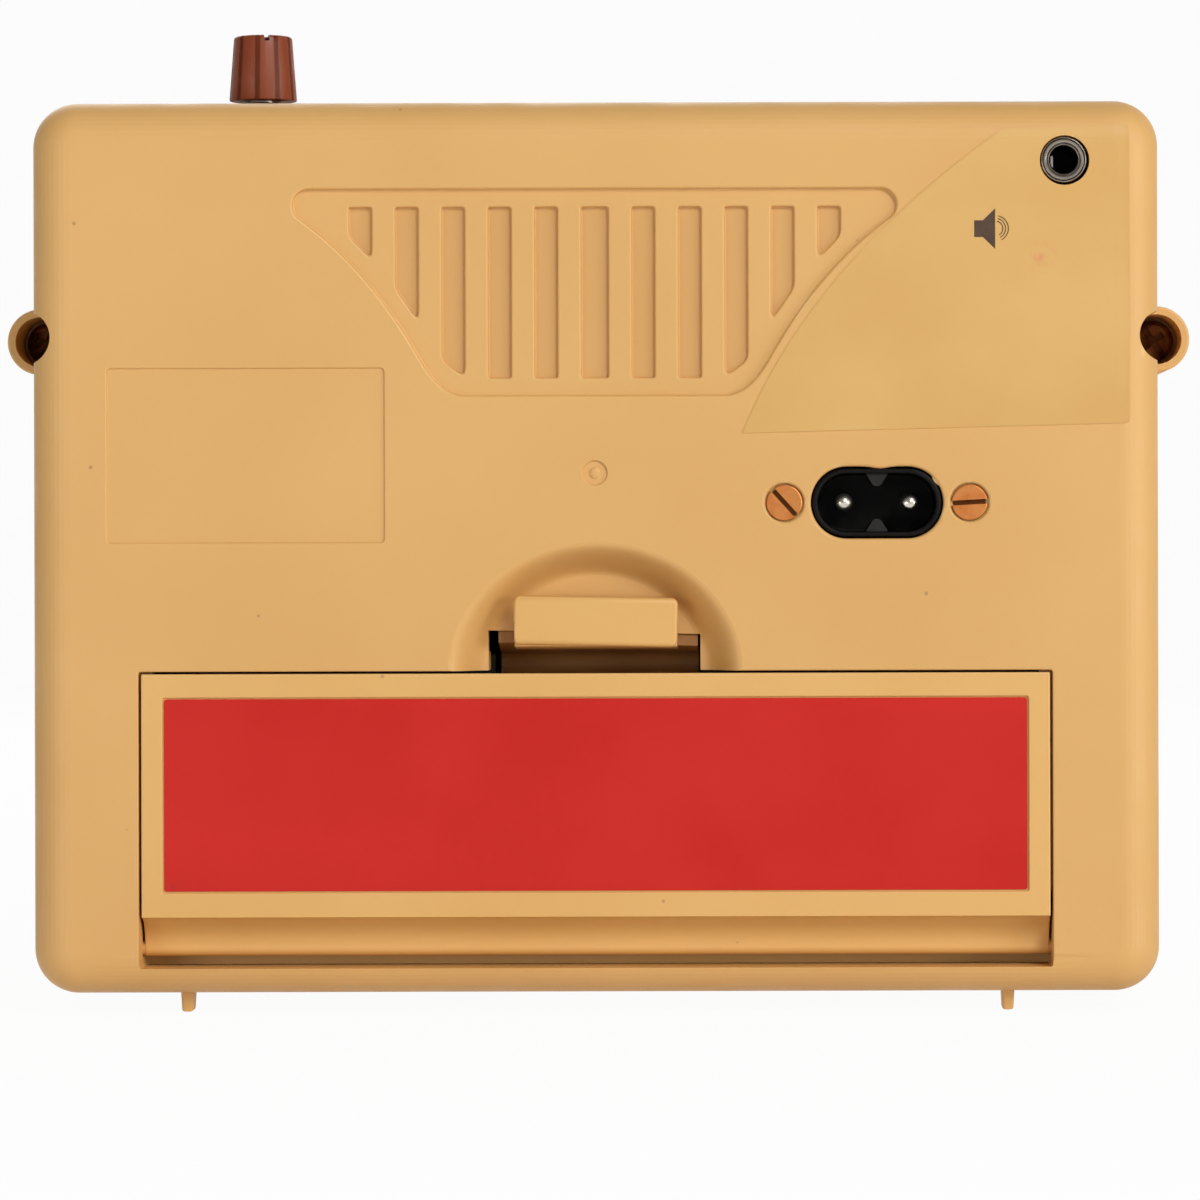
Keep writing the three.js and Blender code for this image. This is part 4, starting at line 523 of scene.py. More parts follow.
tools.append(stand(round_tool("bush_hole", 0, 0, [(BUSH_HOLE, -5), (BUSH_HOLE, 5)]),
                   (VOLUME_X, VOLUME_DEPTH, CASE_HEIGHT - WALL / 2), 90, "X", TO_ORIGIN))
tools.append(carve(prism("tongue_room", WALL / 2, SEAM - 1.7, SEAM + 1), boss_room()))
carve(rear, tools)


# The eleven sound slots are blind, with a rib between each two. The fan round them trims their
# ends, so that the outer ones slant. The mould's gate has left a small pip in its own hollow, and
# two feet stand under the rear half of the case.
def new_tree(name, sizes):
    """A geometry tree with a mesh coming in, named inputs for its sizes, and a mesh going out."""
    tree = bpy.data.node_groups.new(name, "GeometryNodeTree")
    tree.interface.new_socket("Geometry", in_out="INPUT", socket_type="NodeSocketGeometry")
    for label, kind in sizes.items():
        tree.interface.new_socket(label, in_out="INPUT", socket_type="NodeSocket" + kind)
    tree.interface.new_socket("Material", in_out="INPUT", socket_type="NodeSocketMaterial")
    tree.interface.new_socket("Geometry", in_out="OUTPUT", socket_type="NodeSocketGeometry")
    return tree, add(tree, "NodeGroupInput").outputs


def end_tree(tree, given, geometry):
    """Ends a tree in plain meshes that carry its material."""
    real = add(tree, "GeometryNodeRealizeInstances", {"Geometry": geometry})
    painted = add(tree, "GeometryNodeSetMaterial", {
        "Geometry": real.outputs[0], "Material": given["Material"]})
    add(tree, "NodeGroupOutput", {"Geometry": painted.outputs[0]})


def run_tree(name, tree, master, sizes):
    """Runs a tree on the master's mesh and returns the result with a plain mesh."""
    step = master.modifiers.new("tree", "NODES")
    step.node_group = tree
    for item in tree.interface.items_tree:
        if item.in_out == "INPUT" and item.name in sizes:
            step[item.identifier] = sizes[item.name]
    make_plain(master)
    master.name = name
    return master


row_tree, given = new_tree("row_of_copies", {"Count": "Int", "Pitch": "Float"})
stride = add(row_tree, "ShaderNodeCombineXYZ", {"X": given["Pitch"]})
stations = add(row_tree, "GeometryNodeMeshLine", {
    "Count": given["Count"], "Offset": stride.outputs[0]})
copies = add(row_tree, "GeometryNodeInstanceOnPoints", {
    "Points": stations.outputs[0], "Instance": given["Geometry"]})
end_tree(row_tree, given, copies.outputs[0])


def row_of(name, master, count, pitch):
    """Copies of a piece in a row to the right, the pitch in millimetres apart."""
    return run_tree(name, row_tree, master, {"Count": count, "Pitch": pitch / 1000})


SLOT_PITCH, SLOT_WIDTH, MIDDLE_WIDTH, FIRST_SLOT = 6.0, 3.0, 3.55, 6.275


def round_corners(points, reaches):
    """Rounds the corners of an outline, each from the given reach along its two sides."""
    rounded = []
    for i, (corner, reach) in enumerate(zip(points, reaches)):
        ends = []
        for other in (points[i - 1], points[(i + 1) % len(points)]):
            run = math.dist(corner, other)
            share = min(reach / run, 0.49)
            ends.append(tuple(a + (b - a) * share for a, b in zip(corner, other)))
        rounded += [ends[0]] + bend(ends[0], corner, ends[1], 4)
    return rounded


SLOT_RIM, SLOT_BASE, SLOT_MARGIN = 0.24, 0.26, 2.3
fan_edge = [point for point in sound_outline(SLOT_MARGIN) if point[0] <= 0]


def fan_height(across):
    """The height of the fan's lower edge at a place sideways."""
    for (x0, z0), (x1, z1) in zip(fan_edge[1:], fan_edge[2:]):
        if x0 <= -abs(across) <= x1:
            return z0 + (z1 - z0) * (-abs(across) - x0) / (x1 - x0)
    return SOUND_FOOT + SLOT_MARGIN


def pushed(points, grow):
    """An outline that runs anticlockwise, with its straight sides moved outwards."""
    moved = []
    for i, here in enumerate(points):
        normals = []
        for (x0, z0), (x1, z1) in ((points[i - 1], here), (here, points[(i + 1) % len(points)])):
            run = math.hypot(x1 - x0, z1 - z0)
            normals.append(((z1 - z0) / run, (x0 - x1) / run))
        (a, b), (c, d) = normals
        share = grow / (1 + a * c + b * d)
        moved.append((here[0] + share * (a + c), here[1] + share * (b + d)))
    return moved


def slot_tool(centre, width):
    """A slot whose foot follows the fan's edge, with a large rounding at a sharp lower corner."""
    left, right, top = centre - width / 2, centre + width / 2, SOUND_TOP - SLOT_MARGIN
    corners = [(right, top), (left, top), (left, fan_height(left)), (right, fan_height(right))]
    reaches = [0.35, 0.35, 0.35, 0.35]
    if abs(centre) > 16:
        reaches[2:] = [1.5, 0.9] if centre > 0 else [0.9, 1.5]
    else:
        corners[2:] = [(left, fan_height(centre)), (right, fan_height(centre))]
    return pocket("slot", lambda grow: round_corners(
        pushed(corners, grow), [reach + grow for reach in reaches]),
        0.8, 1.6, SLOT_RIM, SLOT_BASE)


slots = slot_tool(0, MIDDLE_WIDTH)
carve(slots, [
    row_of("left_slots", slot_tool(-FIRST_SLOT - SLOT_PITCH, SLOT_WIDTH), 2, SLOT_PITCH),
    row_of("right_slots", slot_tool(FIRST_SLOT, SLOT_WIDTH), 2, SLOT_PITCH)]
    + [slot_tool(side * (FIRST_SLOT + step * SLOT_PITCH), SLOT_WIDTH)
       for side in (-1, 1) for step in (2, 3, 4)], "UNION")
carve(rear, [slots])
FOOT_SPAN, FOOT_HALF_WIDTH, FOOT_HALF_LENGTH = 106.8, 0.85, 2


def pair_of_feet(name, depth):
    """Two feet 1.7 mm wide and 4 mm long, drawn in by their draft and rounded at their tips."""
    left_foot = body_of_rings("foot", [[(x, depth + y, height) for x, y in rounded_box(
        -FOOT_SPAN / 2 - FOOT_HALF_WIDTH + draw, -FOOT_SPAN / 2 + FOOT_HALF_WIDTH - draw,
        draw - FOOT_HALF_LENGTH, FOOT_HALF_LENGTH - draw, 0.4, 4)]
        for draw, height in ((0, 0.8), (0, 0), (0.12, -2.3), (0.2, -2.5), (0.36, -SOLE))])
    return row_of(name, left_foot, 2, FOOT_SPAN)


# A file has left a burr in the upper right of the inlet's hole, where its corner isn't round.
BURR_ROOT = 4.75
burr = body_of_rings("file_burr", [
    [(INLET_X + HOLE_STRAIGHT + radius * math.cos(math.radians(turn)), depth,
      INLET_Z + radius * math.sin(math.radians(turn)))
     for radius, depth in ((BURR_ROOT, 0.1), (BURR_ROOT - reach, 0.3), (BURR_ROOT - reach, 0.45),
                           (BURR_ROOT, 0.6))]
    for turn, reach in ((26, 0.05), (30, 0.22), (36, 0.36), (42, 0.3), (47, 0.12), (50, 0.05))])
gate_pip = round_tool("gate_pip", 0, GATE_Z, [
    (0.75, 0.5), (0.75, 0.3), (0.6, 0.14), (0.35, 0.07), (0.02, 0.05)], 24)
carve(rear, [burr, pair_of_feet("rear_feet", 8.0), gate_pip], "UNION")


WIDE_FACE, FULLY_SQUARE = 0.00001, 0.99999


def finish_edges(piece, angle=32):
    """Shades a piece smooth, apart from edges sharper than the angle, faces over ten square
    millimetres, and faces that are square to the depth."""
    piece.data.shade_smooth()
    piece.data.set_sharp_from_angle(angle=math.radians(angle))
    for face in piece.data.polygons:
        face.use_smooth = face.area < WIDE_FACE and abs(face.normal.y) < FULLY_SQUARE
    return piece


def object_millimetres(material, size):
    """Coordinates that stay on the piece, scaled so that one unit is the size in millimetres."""
    coordinates = add(material, "TexCoord")
    return add(material, "Mapping", {
        "Vector": coordinates.outputs["Object"], "Scale": (1000 / size,) * 3}).outputs[0]


def clouded(material, size, detail, low, high, first, second, most=1.0, distortion=0.0):
    """A colour that goes cloudily from a first tone to a second, in clouds of a size in
    millimetres. Returns the sockets of the noise, the share of the second tone, and the colour."""
    noise = add(material, "TexNoise", {
        "Vector": object_millimetres(material, size), "Scale": 1.0, "Detail": detail,
        "Distortion": distortion})
    share = add(material, "MapRange", {
        "Value": noise.outputs[0], "From Min": low, "From Max": high, "To Max": most})
    colour = add(material, "Mix", {
        "Factor": share.outputs[0], "A": srgb(first), "B": srgb(second)}, data_type="RGBA")
    return {"noise": noise.outputs[0], "share": share.outputs[0],
            "colour": colour.outputs["Result"]}


def painted_shade_below(material, colour, start, run, most, shade_tone):
    """Paints a colour dark, as painted shade, from a depth on, given in millimetres from the rear
    face.
    """
    here = add(material, "SeparateXYZ", {
        "Vector": object_millimetres(material, 1)})
    share = add(material, "MapRange", {
        "Value": here.outputs["Y"], "From Min": REAR + start, "From Max": REAR + start + run,
        "To Max": most})
    mixed = add(material, "Mix", {
        "Factor": share.outputs[0], "A": colour, "B": srgb(shade_tone)}, data_type="RGBA")
    return mixed.outputs["Result"]


def end_material(material, colour, roughness, relief, strength, distance, others=None):
    """Ends a material in its shader, with a relief that is a distance in metres deep."""
    bump = add(material, "Bump", {
        "Height": relief, "Strength": strength, "Distance": distance})
    shader = add(material, "BsdfPrincipled", {
        "Base Color": colour, "Roughness": roughness, "Normal": bump.outputs[0],
        **(others or {})})
    add(material, "OutputMaterial", {"Surface": shader.outputs[0]})
    return material


def spark_eroded_abs(name, tone, dark_tone, pale_tone, roughness=0.5, deep_shade_from=0.0):
    """ABS moulded in a spark-eroded mould: a warm opaque plastic with a faint satin grain, slow
    changes of tone from ageing, sparse brown flecks, and edges rubbed a little paler. Below a
    depth, if one is given, it is painted dark brown as painted shade for the deep recesses."""
    material = new_material(name)
    aged = clouded(material, 38, 2.0, 0.35, 0.65, dark_tone, tone)["colour"]
    # Flecks are burnt specks in the plastic, a tenth of a millimetre wide, drawn at three tenths.
    fleck = add(material, "TexVoronoi", {
        "Vector": object_millimetres(material, 9), "Scale": 1.0})
    fleck_part = add(material, "MapRange", {
        "Value": fleck.outputs["Distance"], "From Min": 0.02, "From Max": 0.035,
        "To Min": 0.45, "To Max": 0.0})
    flecked = add(material, "Mix", {
        "Factor": fleck_part.outputs[0], "A": aged, "B": srgb(0x8A5A2C)}, data_type="RGBA")
    # Only the turns of the edges are rubbed, so a wide face square to the depth stays as it is.
    shape = add(material, "NewGeometry")
    facing = add(material, "SeparateXYZ", {"Vector": shape.outputs["True Normal"]})
    squareness = add(material, "Math", {
        0: facing.outputs["Y"]}, operation="ABSOLUTE")
    turning = add(material, "MapRange", {
        "Value": squareness.outputs[0], "From Min": 0.985, "From Max": 0.9995,
        "To Min": 0.5, "To Max": 0.0})
    worn = add(material, "MapRange", {
        "Value": shape.outputs["Pointiness"], "From Min": 0.53, "From Max": 0.62,
        "To Max": turning.outputs[0]})
    wear_and_highlight = add(material, "Mix", {
        "Factor": worn.outputs[0], "A": flecked.outputs["Result"], "B": srgb(pale_tone)},
        data_type="RGBA")
    colour = wear_and_highlight.outputs["Result"]
    # Below that depth the colour goes dark brown as painted shade.
    if deep_shade_from:
        colour = painted_shade_below(material, colour, deep_shade_from, 4, 0.8, 0x78430C)
    grain = add(material, "TexNoise", {
        "Vector": object_millimetres(material, 0.45), "Scale": 1.0, "Detail": 3.0})
    smear = add(material, "TexNoise", {
        "Vector": object_millimetres(material, 7), "Scale": 1.0, "Detail": 4.0})
    gloss = add(material, "MapRange", {
        "Value": smear.outputs[0], "From Min": 0.3, "From Max": 0.7,
        "To Min": roughness - 0.06, "To Max": roughness + 0.08})
    return end_material(material, colour, gloss.outputs[0], grain.outputs[0], 0.35, 0.00003,
                        {"IOR": 1.54})


def settle(piece, body, finish, *nodes):
    """Gives a piece its finish, lets it stand for its nodes and ride on their body."""
    piece.data.materials.clear()
    piece.data.materials.append(finish)
    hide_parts(*nodes)
    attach(piece, body)


def second_finish(piece, finish, chosen):
    """Gives another finish to the faces whose middle, as (across, depth, height), is chosen."""
    piece.data.materials.append(finish)
    for face in piece.data.polygons:
        across, depth, height = face.center
        if chosen(1000 * across, 1000 * depth - REAR, 1000 * height - SOLE):
            face.material_index = 1


tan_abs = spark_eroded_abs("tan_abs_spark_eroded", 0xDFAE68, 0xDBA963, 0xEDC788)
settle(finish_edges(rear), "case", tan_abs, "rear_shell")
# The floors of the sound slots are painted a little darker as painted shade, and are a little
# rougher.
slot_floor_shade_abs = spark_eroded_abs("tan_abs_slot_floor_shade", 0xD7A562, 0xD2A05C, 0xDDB070, 0.56)
second_finish(rear, slot_floor_shade_abs, lambda x, d, h: (
    1.45 < d < 1.7 and abs(x) < SOUND_HALF and SOUND_FOOT < h < SOUND_TOP))


# The mains inlet is a black thermoplastic moulding behind the case. Its collar fills the hole, two
# wedge ribs give the socket its waist, and a flange takes the two brass screws.
def stadium(half_width, half_height):
    """A box round the inlet's middle with half-round ends, as a function of its growth."""
    return box_round(INLET_X, INLET_Z, half_width, half_height, half_height, 16)


def slab(name, outline, near, far, edge=0.15):
    """A plate with the outline outline(grow) and both of its edges broken."""
    return layers(name, outline, (
        (-edge, near), (-edge * 0.3, near + edge * 0.3), (0, near + edge),
        (0, far - edge), (-edge * 0.3, far - edge * 0.3), (-edge, far)))


SOCKET_HALF_WIDTH, SOCKET_HALF_HEIGHT, WAIST = 7.65, 3.75, 1.55
inlet = slab("mains_inlet_moulding", stadium(8.35, 4.37), 0.25, 11, 0.3)
carve(inlet, [
    slab("inlet_body", box_round(INLET_X, INLET_Z, 9.45, 5.55, 1.2, 6, False), 3.0, 12, 0.3),
    slab("inlet_flange", box_round(INLET_X, INLET_Z, 16, 6.25, 2, 8, False), 2.7, 4.7, 0.2)],
    "UNION")
carve(inlet, [pocket("socket", stadium(SOCKET_HALF_WIDTH, SOCKET_HALF_HEIGHT), 0.25, 9.5, 0.3,
                     0.3)])


def wedge(side):
    """A rib of the socket: wide at the wall, with a rounded tip that reaches the waist."""
    tip = SOCKET_HALF_HEIGHT - WAIST
    section = [(-1.5, 4.3), (-1.3, 3.5), (-0.75, tip + 0.45)]
    section += bend((-0.75, tip + 0.45), (-0.5, tip - 0.1), (0, tip - 0.1), 5)
    section += [(-x, z) for x, z in reversed(section[:-1])]
    return straight("socket_rib", [(INLET_X + x, INLET_Z + side * z) for x, z in section],
                    0.9, 9.8)


carve(inlet, [wedge(1), wedge(-1)], "UNION")
for side in (-1, 1):
    carve(inlet, [
        round_tool("flange_hole", INLET_X + side * INLET_SCREW, INLET_Z, [
            (1.35, 2), (1.35, 6)], 32),
        round_tool("pin_hole", INLET_X + side * INLET_PIN, INLET_Z, [
            (1.22, 9), (1.22, 13)], 32)])


def moulded_plastic(name, tone, fleck_tone, roughness, coarse=0.6, bend_of_light=1.5):
    """A moulded thermoplastic with a matte skin: a fine pitting that breaks up its highlights,
    dust that greys it a little, and slow changes of gloss."""
    material = new_material(name)
    dusty = clouded(material, 1.8, 5.0, 0.52, 0.75, tone, fleck_tone, 0.6)["colour"]
    slow = add(material, "TexNoise", {
        "Vector": object_millimetres(material, 6), "Scale": 1.0, "Detail": 2.0})
    gloss = add(material, "MapRange", {
        "Value": slow.outputs[0], "From Min": 0.3, "From Max": 0.7,
        "To Min": roughness - 0.07, "To Max": roughness + 0.07})
    pits = add(material, "TexNoise", {
        "Vector": object_millimetres(material, coarse), "Scale": 1.0, "Detail": 3.0})
    return end_material(material, dusty, gloss.outputs[0], pits.outputs[0], 0.4, 0.00004,
                        {"IOR": bend_of_light})


inlet_black = moulded_plastic("black_thermoplastic_moulded", 0x070504, 0x14100D, 0.5, 0.6, 1.25)
scuffed_black = moulded_plastic("black_thermoplastic_scuffed", 0x22211F, 0x34322E, 0.55, 0.4, 1.3)
settle(finish_edges(inlet), "case", inlet_black, "mains_inlet")
# Plugs have scuffed the ribs in the socket.
second_finish(inlet, scuffed_black, lambda x, d, h: (
    abs(x - INLET_X) < 1.6 and 0.8 < d < 6 and abs(h - INLET_Z) < 3.7))


# The inlet's two contact pins are turned brass rods with a bright nickel plate and domed tips.
# Their tails go through the moulding to the power board.
def dome(radius, tip, length):
    """The profile of a rod's domed tip, from a point near the axis to the full radius."""
    turns = [math.radians(90) * i / 6 for i in range(7)]
    return [(max(radius * math.sin(turn), 0.02), tip + length * (1 - math.cos(turn)))
            for turn in turns]


def plated_metal(name, tone, stain, roughness, turned=0.0, shade_from=0.0):
    """Metal with a plated or turned surface: fine tool marks, a few duller stains and the
    speckle of handling. Below a depth, if one is given, it is painted dark brown as painted shade."""
    material = new_material(name)
    stains = clouded(material, 2.2, 5.0, 0.42, 0.7, tone, stain)
    colour = stains["colour"]
    # Slots, grooves and gaps below the given depth are painted dark as painted shade.
    if shade_from:
        colour = painted_shade_below(material, colour, shade_from, 0.3, 0.85, 0x3A1A08)
    gloss = add(material, "MapRange", {
        "Value": stains["share"], "To Min": roughness, "To Max": roughness + 0.22})
    marks = add(material, "TexNoise", {
        "Vector": object_millimetres(material, 0.35), "Scale": 1.0, "Detail": 2.0})
    return end_material(material, colour, gloss.outputs[0], marks.outputs[0], 0.25 + turned,
                        0.00002, {"Metallic": 1.0})


nickel = plated_metal("nickel_plate_bright", 0xE6E0D2, 0x9A9184, 0.22)
pins = row_of("inlet_pins", round_tool(
    "inlet_pin", INLET_X - INLET_PIN, INLET_Z,
    dome(1.2, 2.05, 1.1) + [(1.2, 11.9), (0.7, 12.0), (0.7, 21.3), (0.5, 21.6)], 32), 2,
    2 * INLET_PIN)
settle(finish_edges(pins, 50), "case", nickel, "inlet_pin_left", "inlet_pin_right")


# Screws are cold-headed blanks with a slot or a cross pressed into the head. Two countersunk
# brass ones, sunk flush, hold the inlet.
screw_tree, given = new_tree("set_of_screws", {
    "Blank": "Object", "Recess Length": "Float", "Recess Width": "Float",
    "Recess Depth": "Float", "Cross": "Bool"})
blank = add(screw_tree, "GeometryNodeObjectInfo", {"Object": given["Blank"]})
double_depth = add(screw_tree, "ShaderNodeMath", {
    0: given["Recess Depth"], 1: 2.0}, operation="MULTIPLY")
blade = add(screw_tree, "ShaderNodeCombineXYZ", {
    "X": given["Recess Length"], "Y": double_depth.outputs[0], "Z": given["Recess Width"]})
slot = add(screw_tree, "GeometryNodeMeshCube", {"Size": blade.outputs[0]})
crossed = add(screw_tree, "GeometryNodeTransform", {
    "Geometry": slot.outputs[0], "Rotation": (0, math.radians(90), 0)})
second = add(screw_tree, "GeometryNodeSwitch", {
    "Switch": given["Cross"], "True": crossed.outputs[0]}, input_type="GEOMETRY")
recessed = add(screw_tree, "GeometryNodeMeshBoolean", {
    "Mesh 1": blank.outputs["Geometry"], "Mesh 2": slot.outputs[0]},
    operation="DIFFERENCE", solver="MANIFOLD")
screw_tree.links.new(second.outputs[0], recessed.inputs["Mesh 2"])
turn = add(screw_tree, "GeometryNodeInputNamedAttribute", {
    "Name": "turn"}, data_type="FLOAT")
facing = add(screw_tree, "ShaderNodeCombineXYZ", {"Y": turn.outputs[0]})
screws = add(screw_tree, "GeometryNodeInstanceOnPoints", {
    "Points": given["Geometry"], "Instance": recessed.outputs[0],
    "Rotation": facing.outputs[0]})
end_tree(screw_tree, given, screws.outputs[0])


def set_of_screws(name, profile, places, recess, cross=False, facing_front=False):
    """Screws at places (across, depth of the head's face, height, turn in degrees). The profile
    is a list of (radius, depth from the face), and recess gives its length, width and depth."""
    blank = round_tool("blank", 0, 0, profile, 40)
    blank.data.transform(Matrix.Rotation(math.pi if facing_front else 0, 4, "Z") @ TO_ORIGIN)
    build = bmesh.new()
    turn_layer = build.verts.layers.float.new("turn")
    for across, depth, height, degrees in places:
        build.verts.new(place(across, depth, height))[turn_layer] = math.radians(degrees)
    length, width, sink = recess
    made = run_tree(name, screw_tree, to_object(name, build), {
        "Blank": blank, "Recess Length": length / 1000, "Recess Width": width / 1000,
        "Recess Depth": sink / 1000, "Cross": cross})
    discard(blank)
    return made


inlet_screws = set_of_screws("inlet_screws", [
    (2.16, 0.02), (2.28, 0.08), (2.32, 0.2), (2.3, 0.32), (1.2, 1.45), (1.2, 8.6), (0.9, 9.0)],
    [(INLET_X - INLET_SCREW, 0, INLET_Z, 48), (INLET_X + INLET_SCREW, 0, INLET_Z, -3)],
    (6, 0.62, 0.6))
# Below 0.12 mm deep the brass is painted dark brown as painted shade, for the gap round each head
# and the slot.
aged_brass = plated_metal("brass_turned_aged", 0xDE9252, 0xC87C42, 0.42, 0.1, 0.12)
settle(finish_edges(inlet_screws), "case", aged_brass, "inlet_screw_left", "inlet_screw_right")


# The jack's ring is turned brass with nickel plate: two bright rings with a dark groove between.
# It sits in a hole through the case and the printed sheet, in front of a black moulded body that
# carries the spring contact.
jack_ring = round_tool("jack_ring", JACK_X - 0.1, JACK_Z + 0.08, [
    (1.95, 2.35), (1.74, 2.0), (1.72, 0.9), (1.8, 0.5), (1.9, 0.26), (1.98, 0.2), (2.05, 0.26),
    (2.1, 0.42), (2.2, 0.44), (2.24, 0.2), (2.32, 0.14), (2.52, 0.14), (2.6, 0.2), (2.62, 0.55),
    (2.72, 0.55), (2.75, 0.16), (2.8, 0.1), (2.87, 0.12), (2.93, 0.2), (2.95, 0.3),
    (2.95, 2.35)], hollow=True)
# Below 0.24 mm deep the ring is painted dark as painted shade, in its groove and its bore.
jack_nickel = plated_metal("nickel_plate_worn", 0xB5ADA1, 0x8C8377, 0.27, 0, 0.24)
settle(finish_edges(jack_ring, 40), "case", jack_nickel, "aux_jack_bush")
jack_body = slab("jack_body", box_round(JACK_X, JACK_Z, 4.3, 3.6, 0.5, 4, False), 2.7, 14.7, 0.15)
carve(jack_body, [round_tool("jack_bore", JACK_X, JACK_Z, [(1.95, 2), (1.95, 12.2)])])
settle(finish_edges(jack_body), "case", inlet_black, "aux_jack_body")
leaf = body_of_rings("jack_contact_leaf", [
    [(JACK_X - 1.65 + bow + x, depth, JACK_Z + z)
     for x, z in ((0, -0.8), (0.3, -0.72), (0.3, 0.72), (0, 0.8))]
    for bow, depth in ((0, 3.0), (0, 4.2), (0.16, 5.2), (0.34, 6.0), (0.3, 6.9), (0.05, 7.75))])
spring_steel = plated_metal("spring_steel_nickel_plated", 0xC9C5BC, 0x8D8880, 0.3)
settle(finish_edges(leaf, 50), "case", spring_steel, "aux_jack_contact")


# The connection sheet is printed satin vinyl, stuck beside the slots. Its right and top edges bend
# over the rounding of the case.
def case_sink(across, height):
    """How far the case's rounded rear skin lies in from its flat face at a place."""
    over_x = abs(across) - CASE_WIDTH / 2 + CORNER
    over_z = abs(height - CASE_HEIGHT / 2) - CASE_HEIGHT / 2 + CORNER
    corner = math.hypot(max(over_x, 0), max(over_z, 0))
    inside = CORNER - corner - min(max(over_x, over_z), 0)
    if inside >= EDGE:
        return 0.0
    reach = min(1 - inside / EDGE, 1)
    return EDGE * (1 - math.sqrt(1 - reach * reach))


def thin_sheet(name, outline, near, far, columns, rows):
    """A thin sheet with the given outline: a fine plate trimmed to it and laid on the case."""
    left, right = min(x for x, z in outline) - 1, max(x for x, z in outline) + 1
    bottom, top = min(z for x, z in outline) - 1, max(z for x, z in outline) + 1
    heights = [bottom + (top - bottom) * i / rows for i in range(rows + 1)]
    plate = body_of_rings(name, [
        [(left + (right - left) * i / columns, depth, z) for depth, span in (
            (near, heights), (far, heights[::-1])) for z in span] for i in range(columns + 1)])
    keep_common(plate, straight("trim", outline, near - 1, far + 1))
    for vert in plate.data.vertices:
        vert.co.y += case_sink(1000 * vert.co.x, 1000 * vert.co.z - SOLE) / 1000
    return plate


SHEET_THICK, INK_THICK, LIFT_FROM, LIFT = 0.12, 0.03, 68.8, 0.14
sheet_edge = round_corners([(18.9, 72.4), (69, 73.6), (69, 112), (52.6, 111.6)], [0.5] * 4)
sheet_edge = sheet_edge[:-1] + bend(sheet_edge[-1], (28, 94), sheet_edge[0], 48)[:-1]
sheet = thin_sheet("connection_sheet", sheet_edge, -SHEET_THICK, 0, 64, 50)
carve(sheet, [round_tool("jack_hole", JACK_X, JACK_Z, [(JACK_HOLE, -1), (JACK_HOLE, 1)])])
# Its right edge stands off the rounding of the case by a hair.
for vert in sheet.data.vertices:
    if 1000 * vert.co.x > LIFT_FROM:
        vert.co.y -= LIFT / 1000


def satin_vinyl(name, tone, dark_tone, smear_tone, smear_place, smear_radius):
    """Printed vinyl film: an even colour with a soft satin gloss, a fine orange peel, faint
    handling streaks, and one place where something has rubbed off on it."""
    material = new_material(name)
    slow = clouded(material, 16, 3.0, 0.35, 0.65, dark_tone, tone)
    here = add(material, "TexCoord")
    away = add(material, "VectorMath", {
        0: here.outputs["Object"], 1: tuple(smear_place)}, operation="DISTANCE")
    near = add(material, "MapRange", {
        "Value": away.outputs["Value"], "From Max": smear_radius / 1000,
        "To Min": 1.0, "To Max": 0.0})
    blot = add(material, "TexNoise", {
        "Vector": object_millimetres(material, 1.1), "Scale": 1.0, "Detail": 4.0})
    blot_part = add(material, "MapRange", {
        "Value": blot.outputs[0], "From Min": 0.4, "From Max": 0.7, "To Max": 0.7})
    smear = add(material, "Math", {
        0: near.outputs[0], 1: blot_part.outputs[0]}, operation="MULTIPLY")
    colour = add(material, "Mix", {
        "Factor": smear.outputs[0], "A": slow["colour"], "B": srgb(smear_tone)}, data_type="RGBA")
    peel = add(material, "TexNoise", {
        "Vector": object_millimetres(material, 0.9), "Scale": 1.0, "Detail": 2.0})
    gloss = add(material, "MapRange", {
        "Value": slow["noise"], "From Min": 0.3, "From Max": 0.7, "To Min": 0.34,
        "To Max": 0.44})
    return end_material(material, colour.outputs["Result"], gloss.outputs[0], peel.outputs[0],
                        0.18, 0.00004, {"IOR": 1.36})


tan_vinyl = satin_vinyl("tan_vinyl_printed", 0xDDB16D, 0xD9AB66, 0xD98A62,
                        place(57.6, 0, 95.2), 2.6)
settle(finish_edges(sheet, 50), "case", tan_vinyl, "connection_label")

# A generic loudspeaker mark with three sound arcs is printed beside the jack in dark brown ink.
MARK_X, MARK_Z, ARC_HALF = 51.78, 98.7, 0.06
INK_FACE = -SHEET_THICK - INK_THICK
mark = thin_sheet("loudspeaker_mark", [
    (49.02, 97.6), (50.14, 97.6), (51.72, 96.05), (51.72, 101.3), (50.14, 99.75), (49.02, 99.75)],
    INK_FACE, -SHEET_THICK, 1, 1)
arcs = []
for radius in (0.94, 1.29, 1.65):
    span = [math.radians(-62 + 140 * i / 24) for i in range(25)]
    arcs.append(thin_sheet("arc", [
        (MARK_X + (radius + half) * math.cos(turn), MARK_Z + (radius + half) * math.sin(turn))
        for half, turns in ((ARC_HALF, span), (-ARC_HALF, span[::-1])) for turn in turns],
        INK_FACE, -SHEET_THICK, 1, 1))
carve(mark, arcs, "UNION")
brown_ink = moulded_plastic("brown_ink_printed", 0x4A3220, 0x5E442C, 0.45, 0.3)
mark.data.materials.clear()
mark.data.materials.append(brown_ink)
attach(mark, "case")


